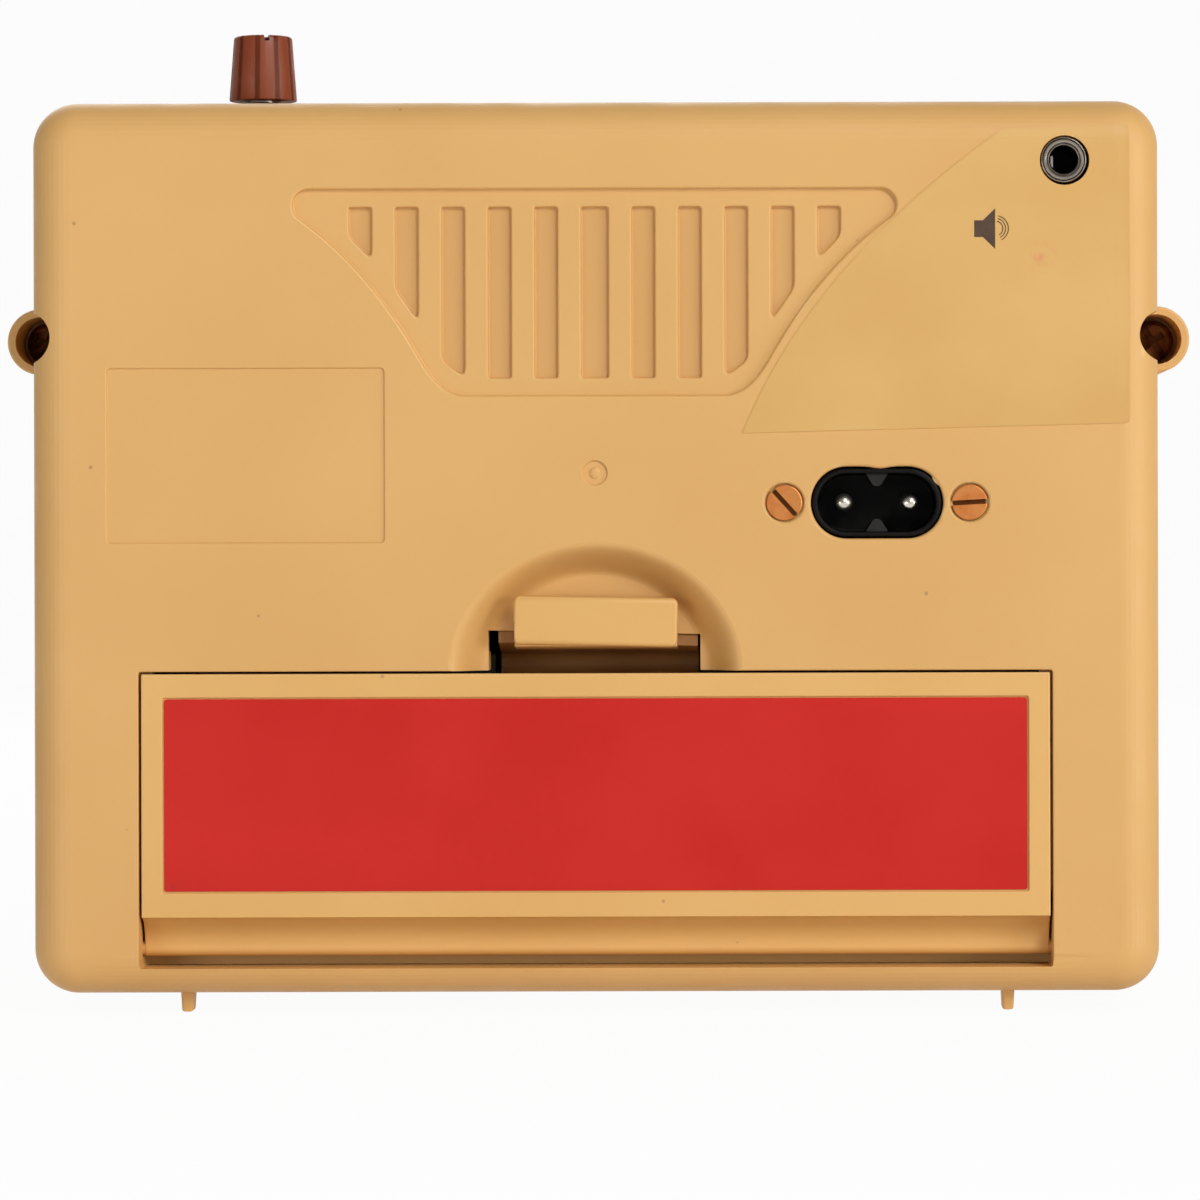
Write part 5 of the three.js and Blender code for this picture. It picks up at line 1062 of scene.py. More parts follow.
# The battery door is a tan ABS panel. Its foot turns in through a hollow quarter round to the
# hinge roll, two moulded pins carry it, and the lower leg of the snap latch grows from its back.
DOOR_HALF, DOOR_TOP, DOOR_THICK, LEG_THICK = 58.65, 41.1, 2.2, 1.5
COVE, ROLL = 4.26, 1.05
LEG_LEFT, LEG_RIGHT = -12.75, 13.15
BEND_DEPTH, BEND_INNER = 12.5, 1.4
BEND_Z, BEND_OUTER = DOOR_TOP + BEND_INNER, BEND_INNER + LEG_THICK
APEX, KNUCKLE = BEND_DEPTH + BEND_INNER + LEG_THICK / 2, LEG_THICK / 2


def drawn_out(name, profile, left, right):
    """A body with one profile of (depth, height), from the left to the right."""
    return body_of_rings(name, [
        [(x, depth, height) for depth, height in profile] for x in (left, right)])


def arc(first, second, radius, start, end, steps=12):
    """Points on an arc round (first, second), with its angles in degrees from the first line."""
    turns = [math.radians(start + (end - start) * i / steps) for i in range(steps + 1)]
    return [(first + radius * math.cos(turn), second + radius * math.sin(turn)) for turn in turns]


def bar(name, profile, half, edge):
    """A profile of (depth, height) drawn out sideways, with its two ends slightly rounded."""
    middle_depth = sum(depth for depth, height in profile) / len(profile)
    middle_height = sum(height for depth, height in profile) / len(profile)
    rings = []
    for side in (-1, 1):
        ends = [(edge, 0.0), (edge * 0.3, edge * 0.3), (0.0, edge)]
        for draw, back in ends[::side * -1]:
            ring = []
            for depth, height in profile:
                reach = math.hypot(depth - middle_depth, height - middle_height)
                share = max(1 - draw * 0.6 / max(reach, 0.3), 0.2)
                ring.append((side * (half - back), middle_depth + (depth - middle_depth) * share,
                             middle_height + (height - middle_height) * share))
            rings.append(ring)
    return body_of_rings(name, rings)


back_radius = HINGE_DEPTH + ROLL
back_turn = math.degrees(math.acos(DOOR_THICK / back_radius))
door_profile = arc(0.25, DOOR_TOP + 0.1, 0.25, 90, 180, 4)
door_profile += arc(0, HINGE_Z, COVE, 90, 0, 24)
door_profile += arc(HINGE_DEPTH, HINGE_Z, ROLL, 180, 360, 20)
door_profile += arc(0, HINGE_Z, back_radius, 0, back_turn, 20)
door_profile += [(DOOR_THICK, DOOR_TOP - 0.1), (DOOR_THICK - 0.1, DOOR_TOP)]
door = body_of_rings("battery_door_panel", [
    [(x, depth + draw * (1 if depth < 1 else 0.4), height - (draw if height > 41 else 0))
     for depth, height in door_profile]
    for x, draw in ((-DOOR_HALF, 0.16), (-DOOR_HALF + 0.06, 0.05), (-DOOR_HALF + 0.18, 0),
                    (DOOR_HALF - 0.18, 0), (DOOR_HALF - 0.06, 0.05), (DOOR_HALF, 0.16))])
lower_leg = [(DOOR_THICK / 2, DOOR_TOP - LEG_THICK)]
lower_leg += arc(BEND_DEPTH, BEND_Z, BEND_OUTER, -90, -6.39, 16)
lower_leg += arc(APEX, BEND_Z, KNUCKLE + 0.05, -24, -163.6, 12)
lower_leg += arc(BEND_DEPTH, BEND_Z, BEND_INNER, -9.2, -90, 12)
lower_leg += [(DOOR_THICK / 2, DOOR_TOP - 0.02)]
door_parts = [drawn_out("lower_leg", lower_leg, LEG_LEFT, LEG_RIGHT)]
for side in (-1, 1):
    door_parts.append(stand(
        round_tool("hinge_pin", 0, 0, dome(0.95, 0, 0.3)[1:] + [(0.95, 4.0)], 32),
        (side * (DOOR_HALF + 2.2), HINGE_DEPTH, HINGE_Z), 90 * side, "Z", TO_ORIGIN))
carve(door, door_parts, "UNION")
carve(door, [pocket("label_recess", box_edge(-55.9, 55.9, 13.2, 38.4, 0.3, 4), 0, 0.4, 0.14)])
FAIR_ABS, FAIR_ABS_DARK, FAIR_ABS_PALE = 0xE4B36A, 0xE0AE64, 0xF0CA8A
# Beyond 7 mm deep, in the latch's bend, the door is painted dark brown as painted shade.
door_abs = spark_eroded_abs("tan_abs_door", FAIR_ABS, FAIR_ABS_DARK, FAIR_ABS_PALE, 0.5, 7.0)
settle(finish_edges(door), "door", door_abs, "battery_door")


# The red label fills the recess of the door. It is a printed film, cut slightly out of true, with
# soft corners. Its print is left off.
label = layers("red_door_label", box_edge(-55.7, 55.7, 13.4, 38.2, 0.35, 5, False),
               ((-0.03, 0.2), (0, 0.23), (0, 0.4)))
red_vinyl = satin_vinyl("red_vinyl_printed", 0xCE241B, 0xC82017, 0xA02A25,
                        place(-54.9, 0.2, 14.2), 1.2)
settle(finish_edges(label), "door", red_vinyl, "door_label")


# The snap latch is moulded with the door in one piece of ABS: the upper half of a U-shaped bend,
# a flat spring leg, a thumb tab that stands above it, and a hook that holds the case's lip. A
# round knuckle at the bend's apex stands in for the flexing.
LEG_FRONT, LEG_FRONT_Z, TAB_FACE, TAB_THICK = 5.4, 46.34, 0.6, 2.0
LEG_END_LEFT, LEG_END_RIGHT = 46.9, 46.4
TAB_HALF, TAB_TOP, TAB_TILT, TAB_RISE = 10.6, 51.2, 1.1, 0.12
STALK_END, HOOK_ROOT, HOOK_TIP, HOOK_END, HOOK_HALF = 6.9, 7.6, 47.16, 9.6, 5
tab_back = TAB_FACE + TAB_THICK


def leg_top(depth):
    """The height of the leg's upper face at a depth, between its front edge and the bend."""
    share = (depth - tab_back) / (BEND_DEPTH - tab_back)
    return LEG_FRONT_Z + (BEND_Z + BEND_OUTER - LEG_FRONT_Z) * share


def leg_section(across, end):
    """The leg and the bend from the side, with the upper edge of the free end at a height."""
    section = arc(BEND_DEPTH, BEND_Z, BEND_OUTER, 0, 90, 16)
    section += [(LEG_FRONT + 0.1, end), (LEG_FRONT, end - 0.1), (LEG_FRONT, end - LEG_THICK)]
    section += arc(BEND_DEPTH, BEND_Z, BEND_INNER, 90, 0, 12)
    section += arc(APEX, BEND_Z, KNUCKLE, 180, 360, 12)[1:-1]
    return [(across, depth, height) for depth, height in section]


latch = body_of_rings("snap_latch", [
    leg_section(LEG_LEFT, LEG_END_LEFT), leg_section(LEG_RIGHT, LEG_END_RIGHT)])
stalk = [(depth, leg_top(depth) - drop) for depth, drop in (
    (tab_back - 0.7, 0), (STALK_END, 0), (STALK_END, LEG_THICK), (tab_back - 0.7, LEG_THICK))]
hook = [(HOOK_ROOT, leg_top(HOOK_ROOT) - 0.7), (HOOK_ROOT, HOOK_TIP - 0.16),
        (HOOK_ROOT + 0.16, HOOK_TIP), (8.1, HOOK_TIP), (HOOK_END, leg_top(HOOK_END) - 0.7)]
tab_foot = LEG_FRONT_Z - LEG_THICK
tab_middle = (tab_foot + TAB_TOP) / 2
tab = bar("tab", rounded_box(TAB_FACE, tab_back, tab_foot, TAB_TOP, 0.7, 8), TAB_HALF,
          0.05)
keep_common(tab, layers(
    "tab_trim", box_edge(-TAB_HALF + 0.02, TAB_HALF - 0.02, tab_foot, TAB_TOP, 0.9, 10, False),
    ((-0.45, 0.55), (-0.22, 0.62), (-0.08, 0.76), (0, 1.05), (0, 3.2))))
stand(tab, (0, 0, tab_middle + TAB_RISE), TAB_TILT, "Y",
      Matrix.Translation(-place(0, 0, tab_middle)))
carve(latch, [tab, drawn_out("stalk", stalk, -TAB_HALF + 0.1, TAB_HALF - 0.1),
              drawn_out("hook", hook, -HOOK_HALF, HOOK_HALF)], "UNION")
# The mould's parting line leaves a small step on the tab's left edge, half way up.
carve(latch, [box_tool("parting_step", -11.5, -TAB_HALF + 0.12, -1, 4, tab_foot - 1, 48.2)])
# Beyond 2.7 mm deep, behind the tab, the latch is painted dark brown as painted shade.
latch_abs = spark_eroded_abs("tan_abs_latch", FAIR_ABS, FAIR_ABS_DARK, FAIR_ABS_PALE, 0.5, 2.7)
settle(finish_edges(latch), "latch", latch_abs, "door_latch")
# The front edge of the leg, beside the tab, is painted darker still as painted shade.
leg_front_shade_abs = spark_eroded_abs("tan_abs_leg_front_shade", FAIR_ABS, FAIR_ABS_DARK, FAIR_ABS_PALE, 0.56, 1.8)
second_finish(latch, leg_front_shade_abs, lambda x, d, h: abs(d - LEG_FRONT) < 0.12)


# Two cross-recessed screws clamp the case shells together through the bosses on the sides. Their
# heads lie deep in the wells, where their zinc plate has gone a dull rusty brown.
CROSS_RECESS = (2.6, 0.6, 0.7)
side_screws = set_of_screws("side_screws", [
    (2.2, 0), (2.6, 0.2), (2.78, 0.6), (2.8, 1.2), (2.8, 2.4), (1.5, 2.4), (1.5, 17.0),
    (0.3, 18.4)],
    [(-BOSS_X, 24.1, BOSS_Z, 20), (BOSS_X, 24.1, BOSS_Z, -35)], (3.4, 0.9, 1.2), True)
zinc = plated_metal("zinc_plated_steel", 0xB9BABA, 0x8A8780, 0.34)
rusted_zinc = plated_metal("zinc_plate_rusted", 0x7E5330, 0x4A2A14, 0.55, 0.3)
settle(finish_edges(side_screws), "case", rusted_zinc, "side_screw_left", "side_screw_right")


# The volume knob is a tapered cap of reddish brown plastic with ten grooves for grip and a notch
# in its top as its pointer. It is pressed on a steel shaft with a flat.
ring_tree, given = new_tree("ring_of_copies", {"Count": "Int"})
index = add(ring_tree, "GeometryNodeInputIndex")
step_turn = add(ring_tree, "ShaderNodeMath", {
    0: math.tau, 1: given["Count"]}, operation="DIVIDE")
own_turn = add(ring_tree, "ShaderNodeMath", {
    0: index.outputs[0], 1: step_turn.outputs[0]}, operation="MULTIPLY")
spin = add(ring_tree, "ShaderNodeCombineXYZ", {"Y": own_turn.outputs[0]})
spindle = add(ring_tree, "GeometryNodeMeshLine", {
    "Count": given["Count"], "Offset": (0, 0, 0)})
around = add(ring_tree, "GeometryNodeInstanceOnPoints", {
    "Points": spindle.outputs[0], "Instance": given["Geometry"], "Rotation": spin.outputs[0]})
end_tree(ring_tree, given, around.outputs[0])

KNOB_GROOVES, GROOVE_SINK, BORE, BORE_DEPTH = 10, 0.35, 2.15, 7.0


def centred(piece):
    """Moves a piece made round place(0, 0, 0) so that it lies round the origin."""
    piece.data.transform(TO_ORIGIN)
    return piece


def fluted_knob(name, skirt, crown, height, groove_width, first_turn):
    """A knob round the origin that stands on its skirt and points along the depth line."""
    top_edge = 0.5
    profile = [(skirt - 0.15, 0), (skirt - 0.04, 0.05), (skirt, 0.2)]
    profile += arc(crown - top_edge, height - top_edge, top_edge, 0, 90, 6)
    profile += [(crown - 1.2, height), (crown - 1.5, height - 0.12), (0.4, height - 0.12)]
    knob = centred(round_tool(name, 0, 0, profile, 120))
    section = []
    for share in (-0.9, -0.5, -0.35, -0.2, 0, 0.2, 0.35, 0.5, 0.9):
        x = share * groove_width
        sink = 0.6
        if abs(x) < groove_width / 2:
            sink = 0.25 - GROOVE_SINK * math.cos(x / groove_width * math.pi) ** 2
        section.append((x, sink - 0.25))
    groove = centred(body_of_rings("groove", [
        [(x, along, radius + sink) for x, sink in section]
        for radius, along in ((skirt + (skirt - crown) * 0.08, -0.08 * height),
                              (crown - (skirt - crown) * 0.08, 1.08 * height))]))
    grooves = run_tree("grooves", ring_tree, groove, {"Count": KNOB_GROOVES})
    grooves.data.transform(Matrix.Rotation(math.radians(first_turn), 4, "Y"))
    bore = centred(round_tool("bore", 0, 0, [(BORE, -1), (BORE, BORE_DEPTH)], 40))
    notch = centred(box_tool("notch", -0.35, 0.35, height - 0.8, height + 1, crown * 0.35,
                             crown + 1))
    notch.data.transform(Matrix.Rotation(math.radians(first_turn + 18), 4, "Y"))
    return carve(knob, [grooves, bore, notch])


def stand_on_top(piece, rise):
    """Turns a piece that points along the depth line upright, over the volume control."""
    return stand(piece, (VOLUME_X, VOLUME_DEPTH, CASE_HEIGHT + rise), 90, "X")


def knob_plastic(name, tone, dark_tone, pale_tone):
    """Moulded plastic coloured a reddish brown and satin. Its ribs are painted paler in patches,
    as painted highlight, and its grooves darker, as painted shade."""
    material = new_material(name)
    blotch = add(material, "TexNoise", {
        "Vector": object_millimetres(material, 1.6), "Scale": 1.0, "Detail": 4.0})
    shape = add(material, "NewGeometry")
    # Grooves are painted dark as painted shade, and ribs pale in patches as painted highlight.
    groove = add(material, "MapRange", {
        "Value": shape.outputs["Pointiness"], "From Min": 0.42, "From Max": 0.5,
        "To Min": 1.0, "To Max": 0.0})
    ridge = add(material, "MapRange", {
        "Value": shape.outputs["Pointiness"], "From Min": 0.51, "From Max": 0.58})
    wear_and_highlight = add(material, "Math", {
        0: ridge.outputs[0], 1: blotch.outputs[0]}, operation="MULTIPLY")
    mixed = add(material, "Mix", {
        "Factor": groove.outputs[0], "A": srgb(tone), "B": srgb(dark_tone)}, data_type="RGBA")
    colour = add(material, "Mix", {
        "Factor": wear_and_highlight.outputs[0], "A": mixed.outputs["Result"], "B": srgb(pale_tone)},
        data_type="RGBA")
    gloss = add(material, "MapRange", {
        "Value": blotch.outputs[0], "From Min": 0.3, "From Max": 0.7, "To Min": 0.36,
        "To Max": 0.52})
    return end_material(material, colour.outputs["Result"], gloss.outputs[0], blotch.outputs[0],
                        0.3, 0.00006, {"IOR": 1.5})


knob_brown = knob_plastic("brown_knob_plastic", 0x85370F, 0x421A06, 0x985026)
volume_knob = stand_on_top(fluted_knob("volume_knob_cap", 4.5, 3.9, 8.65, 0.95, -5.3), 2.0)
settle(finish_edges(volume_knob), "volume", knob_brown, "volume_knob")


# The front shell is the second tan moulding. It carries the panel for the controls, the speaker's
# slots, posts for the boards, a tongue that enters the rear shell, and the front pair of feet.
def to_front(tool):
    """Mirrors a tool that was made for the rear face to the front face."""
    for vert in tool.data.vertices:
        vert.co.y = (2 * REAR + CASE_DEPTH) / 1000 - vert.co.y
    tool.data.flip_normals()
    return tool


FRONT_EDGE, SPEAKER_Z, SOUND_RADIUS = SEAM + 0.3, 82.0, 25.0
PITCH_X, FINE_X, CONTROL_Z, SWITCH_X, LAMP_X = -38.0, 38.0, 26.0, -6.0, 12.0
MAIN_POST_X, MAIN_POST_HEIGHTS, SPEAKER_POST_REACH = 56.0, (10.0, 43.0), 31.8
FRONT_ROOT, MAIN_BOARD_FACE = CASE_DEPTH - POST_ROOT, 48.3
BOSS_END, BOSS_EDGE, SLIDER_SIDE = 44.0, 2.0, 1.8
front = body_of_rings("tan_front_shell", case_rings(CASE_DEPTH, FRONT_EDGE, 0, 0.25))
carve(front, [body_of_rings("front_hollow", case_rings(CASE_DEPTH, FRONT_EDGE - 1, WALL))])
tongue = prism("tongue", WALL - 0.9, SEAM - 1.4, FRONT_EDGE + 1.4)
carve(tongue, [prism("tongue_bore", WALL, SEAM - 3, FRONT_EDGE + 3)] + boss_room())
additions = [tongue, pair_of_feet("front_feet", 52.0)]
speaker_corners = [(SPEAKER_POST_REACH * math.cos(math.radians(turn)), SPEAKER_Z
                    + SPEAKER_POST_REACH * math.sin(math.radians(turn)))
                   for turn in (45, 135, 225, 315)]
tools = [to_front(keep_common(
    row_of("speaker_strips", pocket("strip", lambda grow: rounded_box(
        -25.5 - grow, -22.5 + grow, SPEAKER_Z - 27, SPEAKER_Z + 27, 0.1, 1), 0, 3, 0.3), 9, 6.0),
    pocket("sound_round", circle_edge(0, SPEAKER_Z, SOUND_RADIUS, 96), 0, 3, 0.3)))]
tools.append(to_front(pocket("panel", box_edge(-62, 62, 8, 44, 2.9, 8), 0, 0.6, 0.3, 0.2)))
for across in (PITCH_X, FINE_X):
    tools.append(round_tool("bush_hole", across, CONTROL_Z, [(BUSH_HOLE, 55), (BUSH_HOLE, 62)]))
tools.append(to_front(pocket("slider_slot", box_round(
    SWITCH_X, CONTROL_Z, 4.1, SLIDER_SIDE, 0.3, 4), 0.6, 4, 0.15)))
tools.append(to_front(pocket("lamp_hole", circle_edge(LAMP_X, CONTROL_Z, 1.8, 40), 0.6, 4, 0.12)))
for side in (-1, 1):
    additions.append(round_tool("front_boss", side * BOSS_X, BOSS_Z, [
        (BOSS_RADIUS - 0.2, FRONT_EDGE), (BOSS_RADIUS, FRONT_EDGE + 0.2)]
        + arc(BOSS_RADIUS - BOSS_EDGE, BOSS_END, BOSS_EDGE, 0, 90, 6)))
    tools.append(round_tool("pilot", side * BOSS_X, BOSS_Z, [(1.8, 31), (1.8, 43.5)], 32))
    for height in MAIN_POST_HEIGHTS:
        additions.append(round_tool("board_post", side * MAIN_POST_X, height, [
            (POST, MAIN_BOARD_FACE), (POST, FRONT_ROOT)], 32))
        tools.append(round_tool("post_hole", side * MAIN_POST_X, height, [
            (1.5, 47), (1.5, 55.3)], 24))
for across, height in speaker_corners:
    additions.append(round_tool("speaker_post", across, height, [
        (POST, 56.1), (POST, FRONT_ROOT)], 32))
    tools.append(round_tool("post_hole", across, height, [(1.5, 55), (1.5, 59)], 24))
carve(front, additions, "UNION")
carve(front, tools)
settle(finish_edges(front), "case", tan_abs, "front_shell")


# Two larger knobs of the same kind sit on the front, for the pitch and the fine tuning.
def stand_on_front(piece, across, depth):
    """Puts a piece that lies round the origin in line with the controls of the front."""
    return stand(piece, (across, depth, CONTROL_Z))


KNOB_FOOT = 62.0
for body, across, first_turn in (("pitch", PITCH_X, 0), ("fine_tune", FINE_X, 12)):
    knob = fluted_knob(body + "_knob_cap", 7.45, 6.5, 11.0, 1.2, first_turn)
    settle(finish_edges(stand_on_front(knob, across, KNOB_FOOT)), body, knob_brown,
           body + "_knob")


# The power switch's slider is a black moulded tip with three grip ridges. Its foot runs in the
# channel of the switch body behind the panel.
SLIDER_X = SWITCH_X - 2.0


def slider_block(name, half_width, half_height, near, far, edge):
    return slab(name, box_round(SLIDER_X, CONTROL_Z, half_width, half_height, 0.25, 3, False),
                near, far, edge)


slider = slider_block("power_slider_tip", 1.8, 1.5, 54.7, 61.0, 0.12)
ridge = slab("ridge", box_edge(SLIDER_X - 1.56, SLIDER_X - 0.84, CONTROL_Z - 1.5,
                               CONTROL_Z + 1.5, 0.2, 3, False), 60.6, 62.0, 0.16)
carve(slider, [row_of("ridges", ridge, 3, 1.2),
               slider_block("neck", 1.8, 0.75, 51.9, 55.2, 0.05),
               slider_block("foot", 3.0, 1.5, 51.3, 52.5, 0.1)], "UNION")
settle(finish_edges(slider), "power_slider", inlet_black, "power_switch_slider")


# The power lamp is a 3 mm diode cast in clear red epoxy, with a domed tip, a collar and two
# tinned steel legs.
LENS_TIP, LENS_RADIUS, LEG_PITCH, LEG_HALF = 61.0, 1.5, 1.5, 0.28
lamp_profile = arc(0.01, LENS_TIP - LENS_RADIUS, LENS_RADIUS, 90, 0, 9)
lamp_profile += [(LENS_RADIUS, 56.0), (1.72, 56.0), (1.8, 55.9), (1.8, 55.1), (1.72, 55.0)]
lamp = round_tool("power_lamp_lens", LAMP_X, CONTROL_Z, lamp_profile, 48)
for leg_x in (LAMP_X - LEG_PITCH / 2, LAMP_X + LEG_PITCH / 2):
    carve(lamp, [box_tool("leg", leg_x - LEG_HALF, leg_x + LEG_HALF, MAIN_BOARD_FACE, 55.4,
                          CONTROL_Z - LEG_HALF, CONTROL_Z + LEG_HALF)], "UNION")


def cast_epoxy(name, tone):
    """Epoxy cast clear in a mould: a deep red that glows at its edges, with a smooth glossy skin
    that has a slight ripple."""
    material = new_material(name)
    ripple = add(material, "TexNoise", {
        "Vector": object_millimetres(material, 1.2), "Scale": 1.0, "Detail": 2.0})
    gloss = add(material, "MapRange", {
        "Value": ripple.outputs[0], "From Min": 0.3, "From Max": 0.7, "To Min": 0.08,
        "To Max": 0.2})
    return end_material(material, srgb(tone), gloss.outputs[0], ripple.outputs[0], 0.15, 0.00005,
                        {"IOR": 1.54, "Transmission Weight": 0.55})


settle(finish_edges(lamp, 40), "case", cast_epoxy("red_epoxy_cast", 0xC0201A), "power_led")


# The loudspeaker shows darkly through the front slots: a pressed steel basket, a black paper cone
# with a rolled edge and a dust cap, and a ferrite magnet, held by four screws.
def offset_back(profile, amount):
    """A profile of (radius, depth), run backwards and nearer to the rear by an amount."""
    return [(max(radius, 0.02), depth - amount) for radius, depth in reversed(profile)]


cone_front = [(0.02, 51.4), (2.0, 51.3), (4.0, 50.9), (6.0, 50.1), (6.9, 49.5)]
cone_front += [(7.2, 49.5), (10.5, 51.6), (14.5, 53.8), (18.2, 55.4)]
cone_front += arc(19.9, 55.6, 1.4, 180, 15, 10) + [(22.4, 56.4)]
cone_back = [(22.4, 56.0)] + offset_back(cone_front[6:-1], 0.45)
cone_back += [(7.0, 48.9), (7.0, 46.9), (6.6, 46.9), (6.6, 49.1)]
cone = round_tool("speaker_paper_cone", 0, SPEAKER_Z,
                  cone_front + cone_back + offset_back(cone_front[:4], 0.4), 96)


def pressed_paper(name, tone, fibre_tone):
    """Pulp paper pressed into a cone: black, dull, with pale fibres lying every way in it."""
    material = new_material(name)
    fibre = clouded(material, 0.7, 6.0, 0.56, 0.66, tone, fibre_tone, 0.5, 1.5)
    return end_material(material, fibre["colour"], 0.85, fibre["noise"], 0.5, 0.00005)


settle(finish_edges(cone), "case", pressed_paper("black_paper_pressed", 0x1E1B18, 0x4A443C),
       "speaker_cone")
speaker_screws = set_of_screws("speaker_screws", [
    (2.0, 0), (3.6, 0.25), (3.95, 0.7), (3.95, 1.2), (1.2, 1.2), (1.2, 3.7), (0.4, 4.0)],
    [(x, 54.9, z, 30 + 25 * i) for i, (x, z) in enumerate(speaker_corners)],
    (2.4, 0.6, 0.6), True)
settle(finish_edges(speaker_screws), "case", zinc, "speaker_screw_1", "speaker_screw_2",
       "speaker_screw_3", "speaker_screw_4")


# The battery tray closes the opening from inside. It is moulded in black ABS: two half-round
# troughs for four cells, a rim that meets the frame, and an ear with a screw at each end.
TRAY_FACE, TRAY_RIM, TRAY_BACK, CELL_DEPTH, TROUGH = 11.5, 13.5, 22.65, 13.0, 7.65
CELL_ROWS, TROUGH_HALF, EAR_HALF = (14.4, 30.4), 54, 4.5


def tray_plate(name, left, right, bottom, top, corner, near, far, edge):
    return slab(name, box_edge(left, right, bottom, top, corner, 5, False), near, far, edge)


tray = tray_plate("black_battery_tray", -61.4, 61.4, 2.7, 43.8, 0.7, TRAY_FACE, TRAY_RIM, 0.15)
carve(tray, [tray_plate("tray_body", -55.6, 55.6, 5.15, 39.65, 1.6, 12, TRAY_BACK, 0.8)] + [
    tray_plate("ear", left, right, EAR_Z - EAR_HALF, EAR_Z + EAR_HALF, 2, TRAY_FACE, TRAY_RIM,
               0.15) for left, right in ((-69.6, -60), (60, 69.6))], "UNION")
tools = [box_tool("latch_notch", -13.5, 13.5, 10, BEND_DEPTH + BEND_OUTER + 0.3, 39.3, 50),
         box_tool("plate_room", -TROUGH_HALF, -TROUGH_HALF + 1, 10, 17.8, *CELL_ROWS)]
for row in CELL_ROWS:
    trough = [(TRAY_FACE - 1, row - TROUGH - 0.1), (TRAY_FACE, row - TROUGH - 0.1),
              (TRAY_FACE + 0.2, row - TROUGH)]
    trough += arc(CELL_DEPTH, row, TROUGH, -90, 90, 40)
    trough += [(TRAY_FACE + 0.2, row + TROUGH), (TRAY_FACE, row + TROUGH + 0.1),
               (TRAY_FACE - 1, row + TROUGH + 0.1)]
    tools.append(drawn_out("trough", trough, -TROUGH_HALF, TROUGH_HALF))
for side in (-1, 1):
    tools.append(round_tool("ear_hole", side * EAR_X, EAR_Z, [
        (1.9, TRAY_FACE - 1), (1.9, TRAY_FACE), (1.5, TRAY_FACE + 0.4), (1.5, 15)], 32))
carve(tray, tools)
# A bar and a cross moulded in each trough tell which way round the cells go.
MARK_AT, MARK_REACH, MARK_HALF = 40, 2, 0.4
floor = CELL_DEPTH + TROUGH
for row, turned_round in zip(CELL_ROWS, (1, -1)):
    for across, crossed in ((-MARK_AT * turned_round, False), (MARK_AT * turned_round, True)):
        marks = [box_tool("bar_mark", across - MARK_REACH, across + MARK_REACH, floor - 0.35,
                          floor + 0.4, row - MARK_HALF, row + MARK_HALF)]
        if crossed:
            marks.append(box_tool("cross_mark", across - MARK_HALF, across + MARK_HALF,
                                  floor - 0.65, floor + 0.4, row - MARK_REACH, row + MARK_REACH))
        carve(tray, marks, "UNION")
PAN_HEAD = [(0.8, 0), (1.5, 0.12), (2.1, 0.5), (2.42, 1.1), (2.5, 1.8), (1.2, 1.8), (1.2, 8.2),
            (0.5, 8.8)]
black_abs = moulded_plastic("black_abs_moulded", 0x1A1512, 0x3A332C, 0.48, 0.5)
settle(finish_edges(tray), "case", black_abs, "battery_tray")
tray_screws = set_of_screws("tray_screws", PAN_HEAD, [
    (-EAR_X, 15.3, EAR_Z, 15), (EAR_X, 15.3, EAR_Z, -40)], CROSS_RECESS, True, True)
settle(finish_edges(tray_screws), "case", zinc, "tray_screw_left", "tray_screw_right")


# Contact plates are stamped from nickel-plated spring steel. A pressed dimple meets a cell's
# raised end, and the left plate joins the two rows of cells.
PLATE_AT = 53.3


def contact_plate(name, side, bottom, top, dimple_row=None):
    plate = body_of_rings(name, [
        [(side * (PLATE_AT + out), depth, height) for depth, height in rounded_box(
            8.5 + inset, 17.5 - inset, bottom + inset, top - inset, 1.2, 6)]
        for inset, out in ((0.1, 0.0), (0.0, 0.08), (0.0, 0.32), (0.1, 0.4))])
    if dimple_row:
        dimple = round_tool("dimple", 0, 0, [
            (0.3, -1.38), (0.9, -1.28), (1.3, -1.0), (1.7, -0.5), (2.1, -0.15), (2.45, 0.0),
            (2.5, 0.2)], 40)
        carve(plate, [stand(dimple, (side * PLATE_AT, CELL_DEPTH, dimple_row), -90 * side, "Z",
                            TO_ORIGIN)], "UNION")
    return finish_edges(plate, 50)


for name, node, side, bottom, top, dimple_row in (
        ("left_contact_plate", "contact_plate_left", -1, 8.9, 35.9, CELL_ROWS[1]),
        ("lower_contact_plate", "contact_plate_right_lower", 1, 8.9, 19.9, CELL_ROWS[0]),
        ("upper_contact_plate", "contact_plate_right_upper", 1, 24.9, 35.9, None)):
    settle(contact_plate(name, side, bottom, top, dimple_row), "case", spring_steel, node)


# The contact springs are conical coils of nickel-plated spring wire that press on a cell's flat
# end. Each is one curve, wound four times and swept with a round section.
spring_tree, given = new_tree("conical_spring", {
    "Turns": "Float", "Foot Radius": "Float", "Tip Radius": "Float", "Length": "Float",
    "Wire Radius": "Float"})
coil = add(spring_tree, "GeometryNodeCurveSpiral", {
    "Resolution": 40, "Rotations": given["Turns"], "Start Radius": given["Foot Radius"],
    "End Radius": given["Tip Radius"], "Height": given["Length"]})
wire = add(spring_tree, "GeometryNodeCurvePrimitiveCircle", {
    "Resolution": 14, "Radius": given["Wire Radius"]})
swept = add(spring_tree, "GeometryNodeCurveToMesh", {
    "Curve": coil.outputs[0], "Profile Curve": wire.outputs[0], "Fill Caps": True})
end_tree(spring_tree, given, swept.outputs[0])


